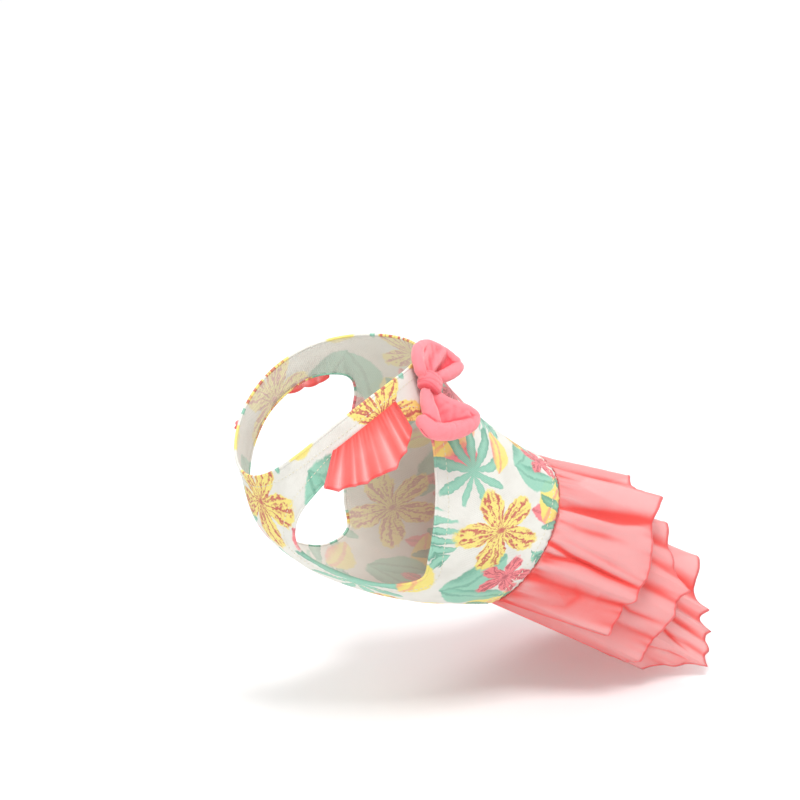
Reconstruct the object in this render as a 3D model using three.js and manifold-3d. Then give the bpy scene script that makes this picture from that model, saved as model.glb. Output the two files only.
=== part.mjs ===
// A small dog's dress, in the form that it has on a sitting dog: a printed jersey bodice with a neck
// opening and two armholes, a frill over each shoulder, a skirt of three gathered tiers sewn round the
// back of the waist, and a padded bow at the nape.
// Millimetres and degrees. +X points to the tail, +Y to the dog's right, +Z up. The origin is where the
// inside of the bodice rests on the withers, at the middle of the neckline's back edge.
import * as THREE from "three";
import Module from "manifold-3d";
import { mergeVertices } from "three/addons/utils/BufferGeometryUtils.js";

const wasm = await Module();
wasm.setup();

// Sizes of the body that the dress is cut for
const BACK_LENGTH = 103; // nape to waist seam, along the back
const NAPE_SLOPE = 57; // how steeply the back falls at the nape
const WAIST_SLOPE = 33; // and at the waist
const CHEST_DEPTH = 107; // back to breastbone
const CHEST_WIDTH = 85;

// Cloth
const JERSEY = 1.6; // thickness of the bodice's wall
const VOILE = 1.0; // thickness of a tier or frill
const SEAM_GAP = 0.3; // clearance between two pieces that are sewn together

// Skirt
const TIER_LENGTHS = { top: 52, middle: 79, bottom: 106 };
const TIER_FOLD = 10; // height of a full fold at the hem

// Shoulder frills
const FRILL_WIDTH = 24;
const FRILL_FOLD = 3.4;
const FRILL_FLARE = 20; // how far a frill stands off the body
const FRILL_SPLAY = 22; // how far its ends fan out
const FRILL_FROM = 68; // its ends, round the body from the back
const FRILL_TO = 110;
const STRAP_SHARE = 0.115; // the strap between neckline and armhole, as a share of the back length

// Bow
const BOW_AROUND = 45; // the knot's place, round the body from the back
const BOW_ALONG = 0.095; // and along the back
const BOW_TURN = 25; // its axis is turned so far to the tail on the dog's left
const KNOT_LENGTH = 8;
const KNOT_WIDTH = 10.5;
const KNOT_HEIGHT = 7.5;
const LOWER_LOOP_LENGTH = 23.5;
const UPPER_LOOP_LENGTH = 15.5;
const LOOP_WIDTH = 32; // at the loop's end
const LOOP_THICKNESS = 15;

// Sections of the body from neckline to waist. depth and width are shares of the chest's, lean is how
// far a section tips below level from back to front. rise lifts its sides towards the head and tuck
// draws its underside in, both as shares of the chest's depth.
const SECTIONS = [
  { along: 0.0, depth: 0.94, width: 0.84, lean: 29, rise: 0.13, tuck: 0.0 },
  { along: 0.25, depth: 1.03, width: 0.98, lean: 33.5, rise: 0.05, tuck: 0.0 },
  { along: 0.5, depth: 0.995, width: 1.0, lean: 41.8, rise: 0.0, tuck: 0.03 },
  { along: 0.75, depth: 0.89, width: 0.98, lean: 49, rise: 0.0, tuck: 0.06 },
  { along: 1.0, depth: 0.755, width: 0.94, lean: 52.5, rise: 0.0, tuck: 0.065 },
];
const TUCK_POWER = 6; // how closely the tuck keeps to the middle of the underside

// The armhole's edge, once round: along is a share of the back length, around is degrees from the back.
const ARMHOLE = [
  { along: STRAP_SHARE + 0.012, around: 74 },
  { along: STRAP_SHARE, around: 92 },
  { along: STRAP_SHARE + 0.01, around: 116 },
  { along: 0.18, around: 143 },
  { along: 0.3, around: 157 },
  { along: 0.43, around: 150 },
  { along: 0.55, around: 138 },
  { along: 0.61, around: 122 },
  { along: 0.55, around: 107 },
  { along: 0.46, around: 89 },
  { along: 0.36, around: 73 },
  { along: 0.26, around: 61 },
  { along: 0.18, around: 60 },
];

// The skirt's tiers from outside in. lies is a tier's place in the seam, reach is how far round each side
// of the back it is sewn on, and arch is how far it bows out between seam and hem. hang gives the way that
// it falls, by place round the waist: pitch is the angle below level towards the tail, spread is the flare
// to the side, fall is its length there as a share of the tier's. Each fold is a ridge from its place at
// the seam to its place at the hem, which are degrees round the waist. narrow and wide are its half widths
// there, half and full are its heights halfway and at the hem, and longer is how much further its hem
// reaches, as shares of the fold's height. sharp is low for a pointed crest and high for a round one.
const TIERS = [
  {
    name: "skirt_tier_top",
    length: TIER_LENGTHS.top,
    lies: 0,
    reach: 132,
    arch: 0.8,
    hang: [
      { around: 0, pitch: 29, spread: 0, fall: 1.0 },
      { around: 50, pitch: 26, spread: 7, fall: 1.03 },
      { around: 100, pitch: 23, spread: 15, fall: 1.04 },
      { around: 150, pitch: 20, spread: 21, fall: 1.0 },
    ],
    folds: [
      { seam: -108, hem: -106, narrow: 8, wide: 16, half: 0.2, full: 0.5, sharp: 1.3, longer: 0.3 },
      { seam: -66, hem: -64, narrow: 8, wide: 16, half: 0.2, full: 0.65, sharp: 1.3, longer: 0.3 },
      { seam: -32, hem: -34, narrow: 5, wide: 9, half: 0.1, full: 0.35, sharp: 1.4, longer: 0.1 },
      { seam: -3, hem: -6, narrow: 5, wide: 9, half: 0.32, full: 0.7, sharp: 1.1, longer: 0.4 },
      { seam: 20, hem: 23, narrow: 7, wide: 14, half: 0.36, full: 0.9, sharp: 1.15, longer: 0.7 },
      { seam: 60, hem: 58, narrow: 6, wide: 9, half: 0.26, full: 0.12, sharp: 2, longer: 0 },
      { seam: 68, hem: 76, narrow: 5, wide: 8, half: 0.26, full: 0.18, sharp: 1.6, longer: 0.1 },
      { seam: 92, hem: 98, narrow: 5, wide: 6, half: 0.16, full: 0.14, sharp: 1.4, longer: 0.1 },
      { seam: 122, hem: 129, narrow: 8, wide: 8, half: 0.18, full: 0.44, sharp: 1.2, longer: 0.3 },
    ],
  },
  {
    name: "skirt_tier_middle",
    length: TIER_LENGTHS.middle,
    lies: 1,
    reach: 143,
    arch: 0,
    hang: [
      { around: 0, pitch: 39.5, spread: 0, fall: 0.95 },
      { around: 50, pitch: 37, spread: 3, fall: 0.98 },
      { around: 100, pitch: 32, spread: 7, fall: 1.02 },
      { around: 150, pitch: 30, spread: 10, fall: 1.0 },
    ],
    folds: [
      { seam: -118, hem: -116, narrow: 8, wide: 14, half: 0.1, full: 0.5, sharp: 1.3, longer: 0.3 },
      { seam: -78, hem: -76, narrow: 8, wide: 14, half: 0.1, full: 0.6, sharp: 1.3, longer: 0.3 },
      { seam: -38, hem: -40, narrow: 8, wide: 14, half: 0.12, full: 0.6, sharp: 1.3, longer: 0.2 },
      { seam: 6, hem: 14, narrow: 8, wide: 15, half: 0.28, full: 1.1, sharp: 1.5, longer: 0.2 },
      { seam: 36, hem: 40, narrow: 6, wide: 9, half: 0.08, full: 0.3, sharp: 1.8, longer: 0 },
      { seam: 56, hem: 59, narrow: 6, wide: 9, half: 0.16, full: 0.8, sharp: 1.1, longer: 0.7 },
      { seam: 80, hem: 82, narrow: 6, wide: 12, half: 0.1, full: 0.36, sharp: 1.6, longer: 0.1 },
      { seam: 124, hem: 127, narrow: 7, wide: 9, half: 0.15, full: 0.4, sharp: 1.2, longer: 0.2 },
    ],
  },
  {
    name: "skirt_tier_bottom",
    length: TIER_LENGTHS.bottom,
    lies: 2,
    reach: 145,
    arch: 0,
    hang: [
      { around: 0, pitch: 43, spread: 0, fall: 0.97 },
      { around: 50, pitch: 43, spread: 0, fall: 0.98 },
      { around: 100, pitch: 35, spread: 2, fall: 1.0 },
      { around: 150, pitch: 31, spread: 4, fall: 0.72 },
    ],
    folds: [
      { seam: -118, hem: -118, narrow: 8, wide: 13, half: 0.1, full: 0.5, sharp: 1.3, longer: 0.3 },
      { seam: -74, hem: -74, narrow: 8, wide: 14, half: 0.1, full: 0.65, sharp: 1.3, longer: 0.3 },
      { seam: -30, hem: -34, narrow: 8, wide: 13, half: 0.1, full: 0.6, sharp: 1.3, longer: 0.2 },
      { seam: 6, hem: 16, narrow: 9, wide: 20, half: 0.3, full: 1.55, sharp: 1.6, longer: 0.2 },
      { seam: 46, hem: 47, narrow: 5, wide: 6, half: 0.1, full: 0.9, sharp: 1.1, longer: 0.5 },
      { seam: 62, hem: 63, narrow: 5, wide: 7, half: 0.1, full: 0.8, sharp: 1.1, longer: 0.6 },
      { seam: 80, hem: 80, narrow: 8, wide: 12, half: 0.1, full: 0.45, sharp: 1.8, longer: 0.6 },
      { seam: 97, hem: 97, narrow: 6, wide: 8, half: 0.1, full: 0.6, sharp: 1.1, longer: 0.9 },
      { seam: 114, hem: 114, narrow: 8, wide: 10, half: 0, full: 0.1, sharp: 1.6, longer: 0.5 },
      { seam: 128, hem: 131, narrow: 6, wide: 9, half: 0.1, full: 0.4, sharp: 1.2, longer: 0.5 },
    ],
  },
];

// The bow's loops. side is 1 for the one down the dog's left and -1 for the one over its back. sweep
// leans the end to the tail, turn is how far the end's edge leans with it, roll turns the tail side of
// the end outwards, and lift is how far the end stands off, as a share of the loop's width.
const LOOPS = [
  { name: "bow_loop_lower", side: 1, length: LOWER_LOOP_LENGTH, sweep: 48, turn: 38, roll: 26, lift: 0.2 },
  { name: "bow_loop_upper", side: -1, length: UPPER_LOOP_LENGTH, sweep: 0, turn: -7, roll: 4, lift: 0.03 },
];

const colours = { jersey: 0xe9e4da, voile: 0xf47c7c, fleece: 0xf0787f };
const rad = THREE.MathUtils.degToRad;
const lerp = THREE.MathUtils.lerp;
const clamp = THREE.MathUtils.clamp;

// A smooth value from a table whose rows are sorted by key.
function fromTable(rows, key, column, at) {
  const last = rows.length - 1;
  let row = 0;
  while (row < last - 1 && at > rows[row + 1][key]) row += 1;
  const value = (index) => rows[clamp(index, 0, last)][column];
  const share = (at - rows[row][key]) / (rows[row + 1][key] - rows[row][key]);
  const slopeIn = (value(row + 1) - value(row - 1)) / 2;
  const slopeOut = (value(row + 2) - value(row)) / 2;
  const square = share * share;
  const cube = square * share;
  return (
    (2 * cube - 3 * square + 1) * value(row) +
    (cube - 2 * square + share) * slopeIn +
    (3 * square - 2 * cube) * value(row + 1) +
    (cube - square) * slopeOut
  );
}

// The line of the back in the middle plane. Its slope eases evenly from nape to waist.
function backPoint(along) {
  const from = rad(NAPE_SLOPE);
  const ease = rad(WAIST_SLOPE) - from;
  const to = from + ease * along;
  const x = (Math.sin(to) - Math.sin(from)) / ease;
  const z = (Math.cos(to) - Math.cos(from)) / ease;
  return new THREE.Vector3(BACK_LENGTH * x, 0, BACK_LENGTH * z);
}

// A point of the body. around runs from 0 at the back to 180 at the breastbone, and is positive on the
// dog's left.
function bodyPoint(along, around) {
  const depth = CHEST_DEPTH * fromTable(SECTIONS, "along", "depth", along);
  const width = CHEST_WIDTH * fromTable(SECTIONS, "along", "width", along);
  const lean = rad(fromTable(SECTIONS, "along", "lean", along));
  const rise = CHEST_DEPTH * fromTable(SECTIONS, "along", "rise", along);
  const turn = rad(around);
  const tuck = CHEST_DEPTH * fromTable(SECTIONS, "along", "tuck", along);
  const under = Math.max(0, -Math.cos(turn)) ** TUCK_POWER;
  const down = (depth / 2) * (1 - Math.cos(turn)) - tuck * under;
  const lift = rise * Math.sin(turn) ** 2;
  const point = backPoint(along);
  point.x -= down * Math.cos(lean) + lift * Math.sin(lean);
  point.z -= down * Math.sin(lean) - lift * Math.cos(lean);
  point.y -= (width / 2) * Math.sin(turn);
  return point;
}

const STEP_ALONG = 0.01;
const STEP_AROUND = 2;

// The directions at a point of the body: along it to the tail, round it from the back, and outwards.
function bodyFrame(along, around) {
  const tail = bodyPoint(along + STEP_ALONG, around)
    .sub(bodyPoint(along - STEP_ALONG, around))
    .normalize();
  const round = bodyPoint(along, around + STEP_AROUND)
    .sub(bodyPoint(along, around - STEP_AROUND))
    .normalize();
  const out = new THREE.Vector3().crossVectors(round, tail).normalize();
  return { tail, round, out };
}

// A closed geometry from vertices and faces of three or four corners, with its faces pointing out.
function closedGeometry(points, faces) {
  const index = [];
  for (const [a, b, c, d] of faces) {
    index.push(a, b, c);
    if (d !== undefined) index.push(a, c, d);
  }
  let volume = 0;
  for (let i = 0; i < index.length; i += 3) {
    const [a, b, c] = [points[index[i]], points[index[i + 1]], points[index[i + 2]]];
    volume += a.dot(b.clone().cross(c));
  }
  if (volume < 0) index.reverse();
  const geometry = new THREE.BufferGeometry().setFromPoints(points);
  geometry.setIndex(index);
  return geometry;
}

// A wall of cloth between two faces that are sampled at the same places. Both take (u, v) from 0 to 1.
// A closed wall joins up in u, and any other has a rim on all four sides.
function clothWall(face, lining, countU, countV, closed = false) {
  const points = [];
  const faces = [];
  const columns = closed ? countU : countU + 1;
  const rows = countV + 1;
  for (const side of [face, lining]) {
    for (let i = 0; i < columns; i += 1) {
      for (let j = 0; j < rows; j += 1) points.push(side(i / countU, j / countV));
    }
  }
  const at = (side, i, j) => side * columns * rows + (i % columns) * rows + j;
  for (let i = 0; i < countU; i += 1) {
    for (let j = 0; j < countV; j += 1) {
      faces.push([at(0, i, j), at(0, i + 1, j), at(0, i + 1, j + 1), at(0, i, j + 1)]);
      faces.push([at(1, i, j), at(1, i, j + 1), at(1, i + 1, j + 1), at(1, i + 1, j)]);
    }
    faces.push([at(1, i, 0), at(1, i + 1, 0), at(0, i + 1, 0), at(0, i, 0)]);
    faces.push([at(0, i, countV), at(0, i + 1, countV), at(1, i + 1, countV), at(1, i, countV)]);
  }
  for (let j = 0; j < countV && !closed; j += 1) {
    faces.push([at(0, 0, j), at(0, 0, j + 1), at(1, 0, j + 1), at(1, 0, j)]);
    faces.push([at(0, countU, j + 1), at(0, countU, j), at(1, countU, j), at(1, countU, j + 1)]);
  }
  return closedGeometry(points, faces);
}

// The other face of a sheet of cloth, one thickness away from a face that is given by its function.
function liningOf(face, thickness, outward) {
  const step = 0.004;
  return (u, v) => {
    const acrossU = face(Math.min(u + step, 1), v).sub(face(Math.max(u - step, 0), v));
    const acrossV = face(u, Math.min(v + step, 1)).sub(face(u, Math.max(v - step, 0)));
    const normal = acrossU.cross(acrossV).normalize();
    if (normal.dot(outward(u, v)) > 0) normal.negate();
    return face(u, v).addScaledVector(normal, thickness);
  };
}

function asSolid(geometry) {
  const bare = geometry.index ? geometry.toNonIndexed() : geometry.clone();
  bare.deleteAttribute("normal");
  bare.deleteAttribute("uv");
  const merged = mergeVertices(bare, 1e-4);
  return new wasm.Manifold(
    new wasm.Mesh({
      numProp: 3,
      vertProperties: merged.attributes.position.array,
      triVerts: new Uint32Array(merged.index.array),
    }),
  );
}

function asGeometry(solid) {
  const mesh = solid.getMesh();
  const position = new Float32Array(mesh.numVert * 3);
  for (let i = 0; i < mesh.numVert; i += 1) {
    const from = i * mesh.numProp;
    position.set(mesh.vertProperties.subarray(from, from + 3), i * 3);
  }
  const geometry = new THREE.BufferGeometry();
  geometry.setAttribute("position", new THREE.BufferAttribute(position, 3));
  geometry.setIndex(new THREE.BufferAttribute(mesh.triVerts, 1));
  return geometry;
}

function named(name, geometry, color, roughness) {
  const material = new THREE.MeshStandardMaterial({ color, roughness, metalness: 0 });
  const mesh = new THREE.Mesh(geometry, material);
  mesh.name = name;
  return mesh;
}

const AROUND_TURN = 360;
const BODICE_COUNTS = { around: 52, along: 14 };

// A tool that cuts one armhole: the hole's outline in side view, run out through that side of the body.
function armholeCutter(side) {
  const outline = ARMHOLE.map(({ along, around }) => {
    const point = bodyPoint(along, around);
    return new THREE.Vector2(point.x, point.z);
  });
  const curve = new THREE.SplineCurve([...outline, outline[0]]);
  const shape = new THREE.Shape(curve.getPoints(3 * ARMHOLE.length).slice(0, -1));
  const inner = CHEST_WIDTH * 0.08;
  const cutter = new THREE.ExtrudeGeometry(shape, { depth: CHEST_WIDTH, bevelEnabled: false });
  cutter.rotateX(Math.PI / 2); // the outline now lies in XZ and runs out towards -Y
  cutter.translate(0, side > 0 ? -inner : inner + CHEST_WIDTH, 0);
  return asSolid(cutter);
}

function bodice() {
  const out = (share, v) => bodyFrame(v, share * AROUND_TURN).out;
  const lining = (share, v) => bodyPoint(v, share * AROUND_TURN);
  const face = (share, v) => lining(share, v).addScaledVector(out(share, v), JERSEY);
  const { around, along } = BODICE_COUNTS;
  const tube = asSolid(clothWall(face, lining, around, along, true));
  const cut = tube.subtract(armholeCutter(1)).subtract(armholeCutter(-1));
  return named("bodice", asGeometry(cut), colours.jersey, 0.85);
}

// How far the cloth of a tier stands out in its folds, and how much further it reaches there.
function ruffle(folds, around, v) {
  let high = 0;
  let longer = 0;
  for (const fold of folds) {
    const crest = lerp(fold.seam, fold.hem, v);
    const reach = lerp(fold.narrow, fold.wide, v);
    const profile = Math.exp(-((Math.abs(around - crest) / reach) ** fold.sharp));
    const rise = (4 * fold.half - fold.full) * v + (2 * fold.full - 4 * fold.half) * v * v;
    high += rise * profile;
    longer += fold.longer * v ** 3 * profile;
  }
  return { high: high * TIER_FOLD, longer: longer * TIER_FOLD };
}

// Places round a tier for its columns of faces: an even row of them, with more at the crests.
function tierColumns(tier) {
  const places = [];
  const flank = 0.5;
  for (const { hem, wide } of tier.folds) places.push(hem - wide * flank, hem, hem + wide * flank);
  for (let k = 0; k <= EVEN_COLUMNS; k += 1) {
    const even = lerp(-tier.reach, tier.reach, k / EVEN_COLUMNS);
    const apart = (2 * tier.reach) / EVEN_COLUMNS / 2;
    const ending = k === 0 || k === EVEN_COLUMNS;
    if (ending || places.every((place) => Math.abs(place - even) > apart)) places.push(even);
  }
  const inside = places.filter((place) => Math.abs(place) <= tier.reach);
  return inside.sort((a, b) => a - b);
}

const EVEN_COLUMNS = 60;
const TIER_ROWS = 7;
const TIER_PITCH = VOILE + SEAM_GAP; // from one tier to the next, where they are sewn in

function tierWall(tier) {
  const columns = tierColumns(tier);
  const count = columns.length - 1;
  const seam = (u) => {
    const place = Math.min(Math.floor(u * count + 1e-9), count - 1);
    return lerp(columns[place], columns[place + 1], u * count - place);
  };
  const waistOut = (u) => bodyFrame(1 - STEP_ALONG, seam(u)).out;
  const face = (u, v) => {
    const around = seam(u);
    const side = Math.abs(around);
    const hang = (column) => fromTable(tier.hang, "around", column, side);
    const pitch = rad(hang("pitch"));
    const spread = rad(hang("spread")) * Math.sign(around);
    const level = Math.cos(spread);
    const way = new THREE.Vector3(
      Math.cos(pitch) * level,
      -Math.sin(spread),
      -Math.sin(pitch) * level,
    );
    const out = waistOut(u);
    const { high, longer } = ruffle(tier.folds, around, v);
    const arch = tier.arch * 4 * v * (1 - v);
    const stack = JERSEY - tier.lies * TIER_PITCH;
    return bodyPoint(1, around)
      .addScaledVector(bodyFrame(1 - STEP_ALONG, around).tail, SEAM_GAP)
      .addScaledVector(way, tier.length * hang("fall") * v + longer)
      .addScaledVector(out, stack + high + arch);
  };
  const lining = liningOf(face, VOILE, (u) => waistOut(u));
  return named(tier.name, clothWall(face, lining, count, TIER_ROWS), colours.voile, 0.7);
}

const FRILL_COUNTS = { around: 34, along: 4 };
const FRILL_FLUTES = 4.5;
const FRILL_ROOT = 0.05; // its seam lies this share of the back length above the armhole's edge
const FRILL_ENDS = 0.68; // width of a frill at its ends, as a share of its full width
const FRILL_REAR = 0.1; // how far its rear end stands off, as a share of the rest
const FRILL_EASE = 0.35; // the share of its length over which it comes out

function shoulderFrill(name, side) {
  const root = STRAP_SHARE - FRILL_ROOT;
  const place = (u) => side * lerp(FRILL_FROM, FRILL_TO, u);
  const face = (u, v) => {
    const around = place(u);
    const { out } = bodyFrame(root, around);
    const down = new THREE.Vector3(0, 0, -1)
      .projectOnPlane(out)
      .applyAxisAngle(out, rad(FRILL_SPLAY) * side * (1 - 2 * u))
      .normalize();
    const taper = lerp(FRILL_ENDS, 1, Math.sin(Math.PI * u) ** 0.7);
    const reach = FRILL_WIDTH * taper * v;
    const flute = FRILL_FOLD * (1 + Math.cos(2 * Math.PI * FRILL_FLUTES * u)) * v;
    const stand = lerp(FRILL_REAR, 1, Math.min(1, u / FRILL_EASE));
    const flare = (reach * Math.sin(rad(FRILL_FLARE)) + flute) * stand;
    return bodyPoint(root, around)
      .addScaledVector(down, reach * Math.cos(rad(FRILL_FLARE)))
      .addScaledVector(out, JERSEY + SEAM_GAP + VOILE + flare);
  };
  const lining = liningOf(face, VOILE, (u) => bodyFrame(root, place(u)).out);
  const { around, along } = FRILL_COUNTS;
  return named(name, clothWall(face, lining, around, along), colours.voile, 0.7);
}

// A closed solid lofted through rings of points, with a flat cap at each end.
function lofted(rings) {
  const count = rings[0].length;
  const points = rings.flat();
  const faces = [];
  for (let i = 0; i + 1 < rings.length; i += 1) {
    for (let j = 0; j < count; j += 1) {
      const next = (j + 1) % count;
      faces.push([
        i * count + j,
        i * count + next,
        (i + 1) * count + next,
        (i + 1) * count + j,
      ]);
    }
  }
  for (const [ring, first] of [
    [rings[0], 0],
    [rings[rings.length - 1], (rings.length - 1) * count],
  ]) {
    const middle = ring.reduce((sum, p) => sum.add(p), new THREE.Vector3()).divideScalar(count);
    points.push(middle);
    for (let j = 0; j < count; j += 1) {
      const next = (j + 1) % count;
      const corner = [first + j, first + next, points.length - 1];
      faces.push(first === 0 ? corner.reverse() : corner);
    }
  }
  return closedGeometry(points, faces);
}

const LOOP_SIDES = 20;
// A bow loop from knot to end: along is a share of its length, width and thickness are shares of the
// loop's own, crease is the depth of the fold down its middle, as a share of the thickness there.
const LOOP_SECTIONS = [
  { along: 0.0, width: 0.36, thickness: 0.52, crease: 0.1 },
  { along: 0.14, width: 0.44, thickness: 0.62, crease: 0.45 },
  { along: 0.34, width: 0.66, thickness: 0.84, crease: 0.62 },
  { along: 0.56, width: 0.88, thickness: 0.98, crease: 0.6 },
  { along: 0.76, width: 1.0, thickness: 1.0, crease: 0.46 },
  { along: 0.91, width: 0.98, thickness: 0.86, crease: 0.28 },
  { along: 1.0, width: 0.86, thickness: 0.46, crease: 0.1 },
];
const CREASE_WIDTH = 0.3; // as a share of the loop's half width there
const LOOP_UNDERSIDE = 0.7; // how full its underside is against its upper side

// The bow's middle and its square directions: tail across the knot, round along the loops, out.
function bowFrame() {
  const { round, out } = bodyFrame(BOW_ALONG, BOW_AROUND);
  round.applyAxisAngle(out, rad(BOW_TURN));
  const tail = new THREE.Vector3().crossVectors(out, round).normalize();
  const height = JERSEY + SEAM_GAP + KNOT_HEIGHT / 2;
  const middle = bodyPoint(BOW_ALONG, BOW_AROUND).addScaledVector(out, height);
  return { middle, tail, round, out };
}

function bowLoop({ name, side, length, sweep, turn, roll, lift }) {
  const { middle, tail, round, out } = bowFrame();
  const start = KNOT_LENGTH / 2 + SEAM_GAP;
  const bend = rad(sweep);
  const rings = LOOP_SECTIONS.map((row) => {
    const reach = length * row.along;
    const centre = middle
      .clone()
      .addScaledVector(round, side * (start + reach * Math.cos(bend)))
      .addScaledVector(tail, reach * Math.sin(bend))
      .addScaledVector(out, lift * LOOP_WIDTH * row.along ** 2);
    const width = LOOP_WIDTH * row.width;
    const thickness = LOOP_THICKNESS * row.thickness;
    const turned = rad(turn) * row.along;
    const rolled = rad(roll) * row.along;
    const straight = tail
      .clone()
      .multiplyScalar(Math.cos(turned))
      .addScaledVector(round, -side * Math.sin(turned));
    const acrossWay = straight
      .clone()
      .multiplyScalar(Math.cos(rolled))
      .addScaledVector(out, Math.sin(rolled));
    const thickWay = out
      .clone()
      .multiplyScalar(Math.cos(rolled))
      .addScaledVector(straight, -Math.sin(rolled));
    return Array.from({ length: LOOP_SIDES }, (_, i) => {
      const angle = (2 * Math.PI * i) / LOOP_SIDES;
      const across = Math.cos(angle);
      const rounded = Math.sign(Math.sin(angle)) * Math.abs(Math.sin(angle)) ** 0.8;
      const dent = row.crease * Math.exp(-((across / CREASE_WIDTH) ** 2));
      const height = rounded > 0 ? rounded * (1 - dent) : rounded * LOOP_UNDERSIDE;
      return centre
        .clone()
        .addScaledVector(acrossWay, (width / 2) * across)
        .addScaledVector(thickWay, (thickness / 2) * height);
    });
  });
  return named(name, lofted(rings), colours.fleece, 0.9);
}

const KNOT_ROUNDING = 2.6;
const KNOT_SEGMENTS = 5;

function bowKnot() {
  const { middle, tail, round, out } = bowFrame();
  const half = new THREE.Vector2(KNOT_WIDTH / 2, KNOT_HEIGHT / 2);
  const shape = new THREE.Shape();
  const corners = [
    [1, 1, 0],
    [-1, 1, 1],
    [-1, -1, 2],
    [1, -1, 3],
  ];
  for (const [x, y, quarter] of corners) {
    const centreX = x * (half.x - KNOT_ROUNDING);
    const centreY = y * (half.y - KNOT_ROUNDING);
    const from = (quarter * Math.PI) / 2;
    shape.absarc(centreX, centreY, KNOT_ROUNDING, from, from + Math.PI / 2, false);
  }
  const geometry = new THREE.ExtrudeGeometry(shape, {
    depth: KNOT_LENGTH,
    bevelEnabled: false,
    curveSegments: KNOT_SEGMENTS,
  });
  geometry.translate(0, 0, -KNOT_LENGTH / 2);
  const mesh = named("bow_knot", geometry, colours.fleece, 0.9);
  mesh.quaternion.setFromRotationMatrix(new THREE.Matrix4().makeBasis(tail, out, round));
  mesh.position.copy(middle);
  return mesh;
}

const dress = new THREE.Group();
dress.add(bodice());
for (const tier of TIERS) dress.add(tierWall(tier));
dress.add(shoulderFrill("shoulder_frill_left", 1));
dress.add(shoulderFrill("shoulder_frill_right", -1));
dress.add(bowKnot());
for (const loop of LOOPS) dress.add(bowLoop(loop));

export default dress;
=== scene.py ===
# %% [markdown]
# # A small dog's dress
# The dress is shown in the form that it has when it is worn. It has a printed jersey bodice, a voile
# frill over each shoulder, a skirt of three gathered voile tiers, and a padded fleece bow. The packed
# model gives the frame. Each soft solid in it is replaced here by cloth with real hems and folds.

# %% Load the frame
import math

import bpy
import numpy as np
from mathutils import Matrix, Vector
from mathutils.geometry import delaunay_2d_cdt


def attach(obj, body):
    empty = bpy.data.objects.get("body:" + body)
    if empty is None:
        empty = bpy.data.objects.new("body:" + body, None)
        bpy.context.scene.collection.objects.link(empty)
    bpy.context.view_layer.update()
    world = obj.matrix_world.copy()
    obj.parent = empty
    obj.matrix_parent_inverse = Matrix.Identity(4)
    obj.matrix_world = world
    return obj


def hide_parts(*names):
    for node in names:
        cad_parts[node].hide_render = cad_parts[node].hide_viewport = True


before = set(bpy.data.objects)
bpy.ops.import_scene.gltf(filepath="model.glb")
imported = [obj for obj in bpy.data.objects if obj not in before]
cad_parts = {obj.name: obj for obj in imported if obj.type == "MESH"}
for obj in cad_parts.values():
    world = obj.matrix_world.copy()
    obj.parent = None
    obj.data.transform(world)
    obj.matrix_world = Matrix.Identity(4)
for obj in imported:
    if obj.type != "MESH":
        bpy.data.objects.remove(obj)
bpy.context.scene.view_settings.view_transform = "Standard"
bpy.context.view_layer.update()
MM = 0.001
print("solids to dress:", len(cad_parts))

# %% [markdown]
# The camera looks from the dress's left, a little in front and from above. It stands far off with a
# long lens, so that near and far parts keep nearly the same scale, as in a studio picture. Its aim
# puts the dress a little right of and below the middle.

# %% Camera
AZIMUTH, ELEVATION = math.radians(-29), math.radians(20)
PIXELS_PER_MM = 2.1
DISTANCE_MM = 2400
FRAME_PIXELS = 800
SENSOR_MM = 36
AIM_RIGHT_MM, AIM_TOP_MM = -5.2, -26.2

to_camera = Vector(
    (
        math.sin(AZIMUTH) * math.cos(ELEVATION),
        -math.cos(AZIMUTH) * math.cos(ELEVATION),
        math.sin(ELEVATION),
    )
)
to_right = Vector((math.cos(AZIMUTH), math.sin(AZIMUTH), 0))
to_top = to_camera.cross(to_right)
aim = (to_right * AIM_RIGHT_MM + to_top * AIM_TOP_MM) * MM
camera_data = bpy.data.cameras.new("camera")
camera_data.sensor_width = SENSOR_MM
camera_data.lens = PIXELS_PER_MM * SENSOR_MM * DISTANCE_MM / FRAME_PIXELS
camera = bpy.data.objects.new("camera", camera_data)
bpy.context.scene.collection.objects.link(camera)
camera.location = aim + to_camera * DISTANCE_MM * MM
camera.rotation_euler = to_camera.to_track_quat("Z", "Y").to_euler()
bpy.context.scene.camera = camera
print("lens, mm:", round(camera_data.lens))

# %% [markdown]
# Shader maths reads best as plain arithmetic. This small class wraps one socket of a material's nodes.
# Adding or multiplying such values adds the Math node that does it, and the node method adds any
# other node.


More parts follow.
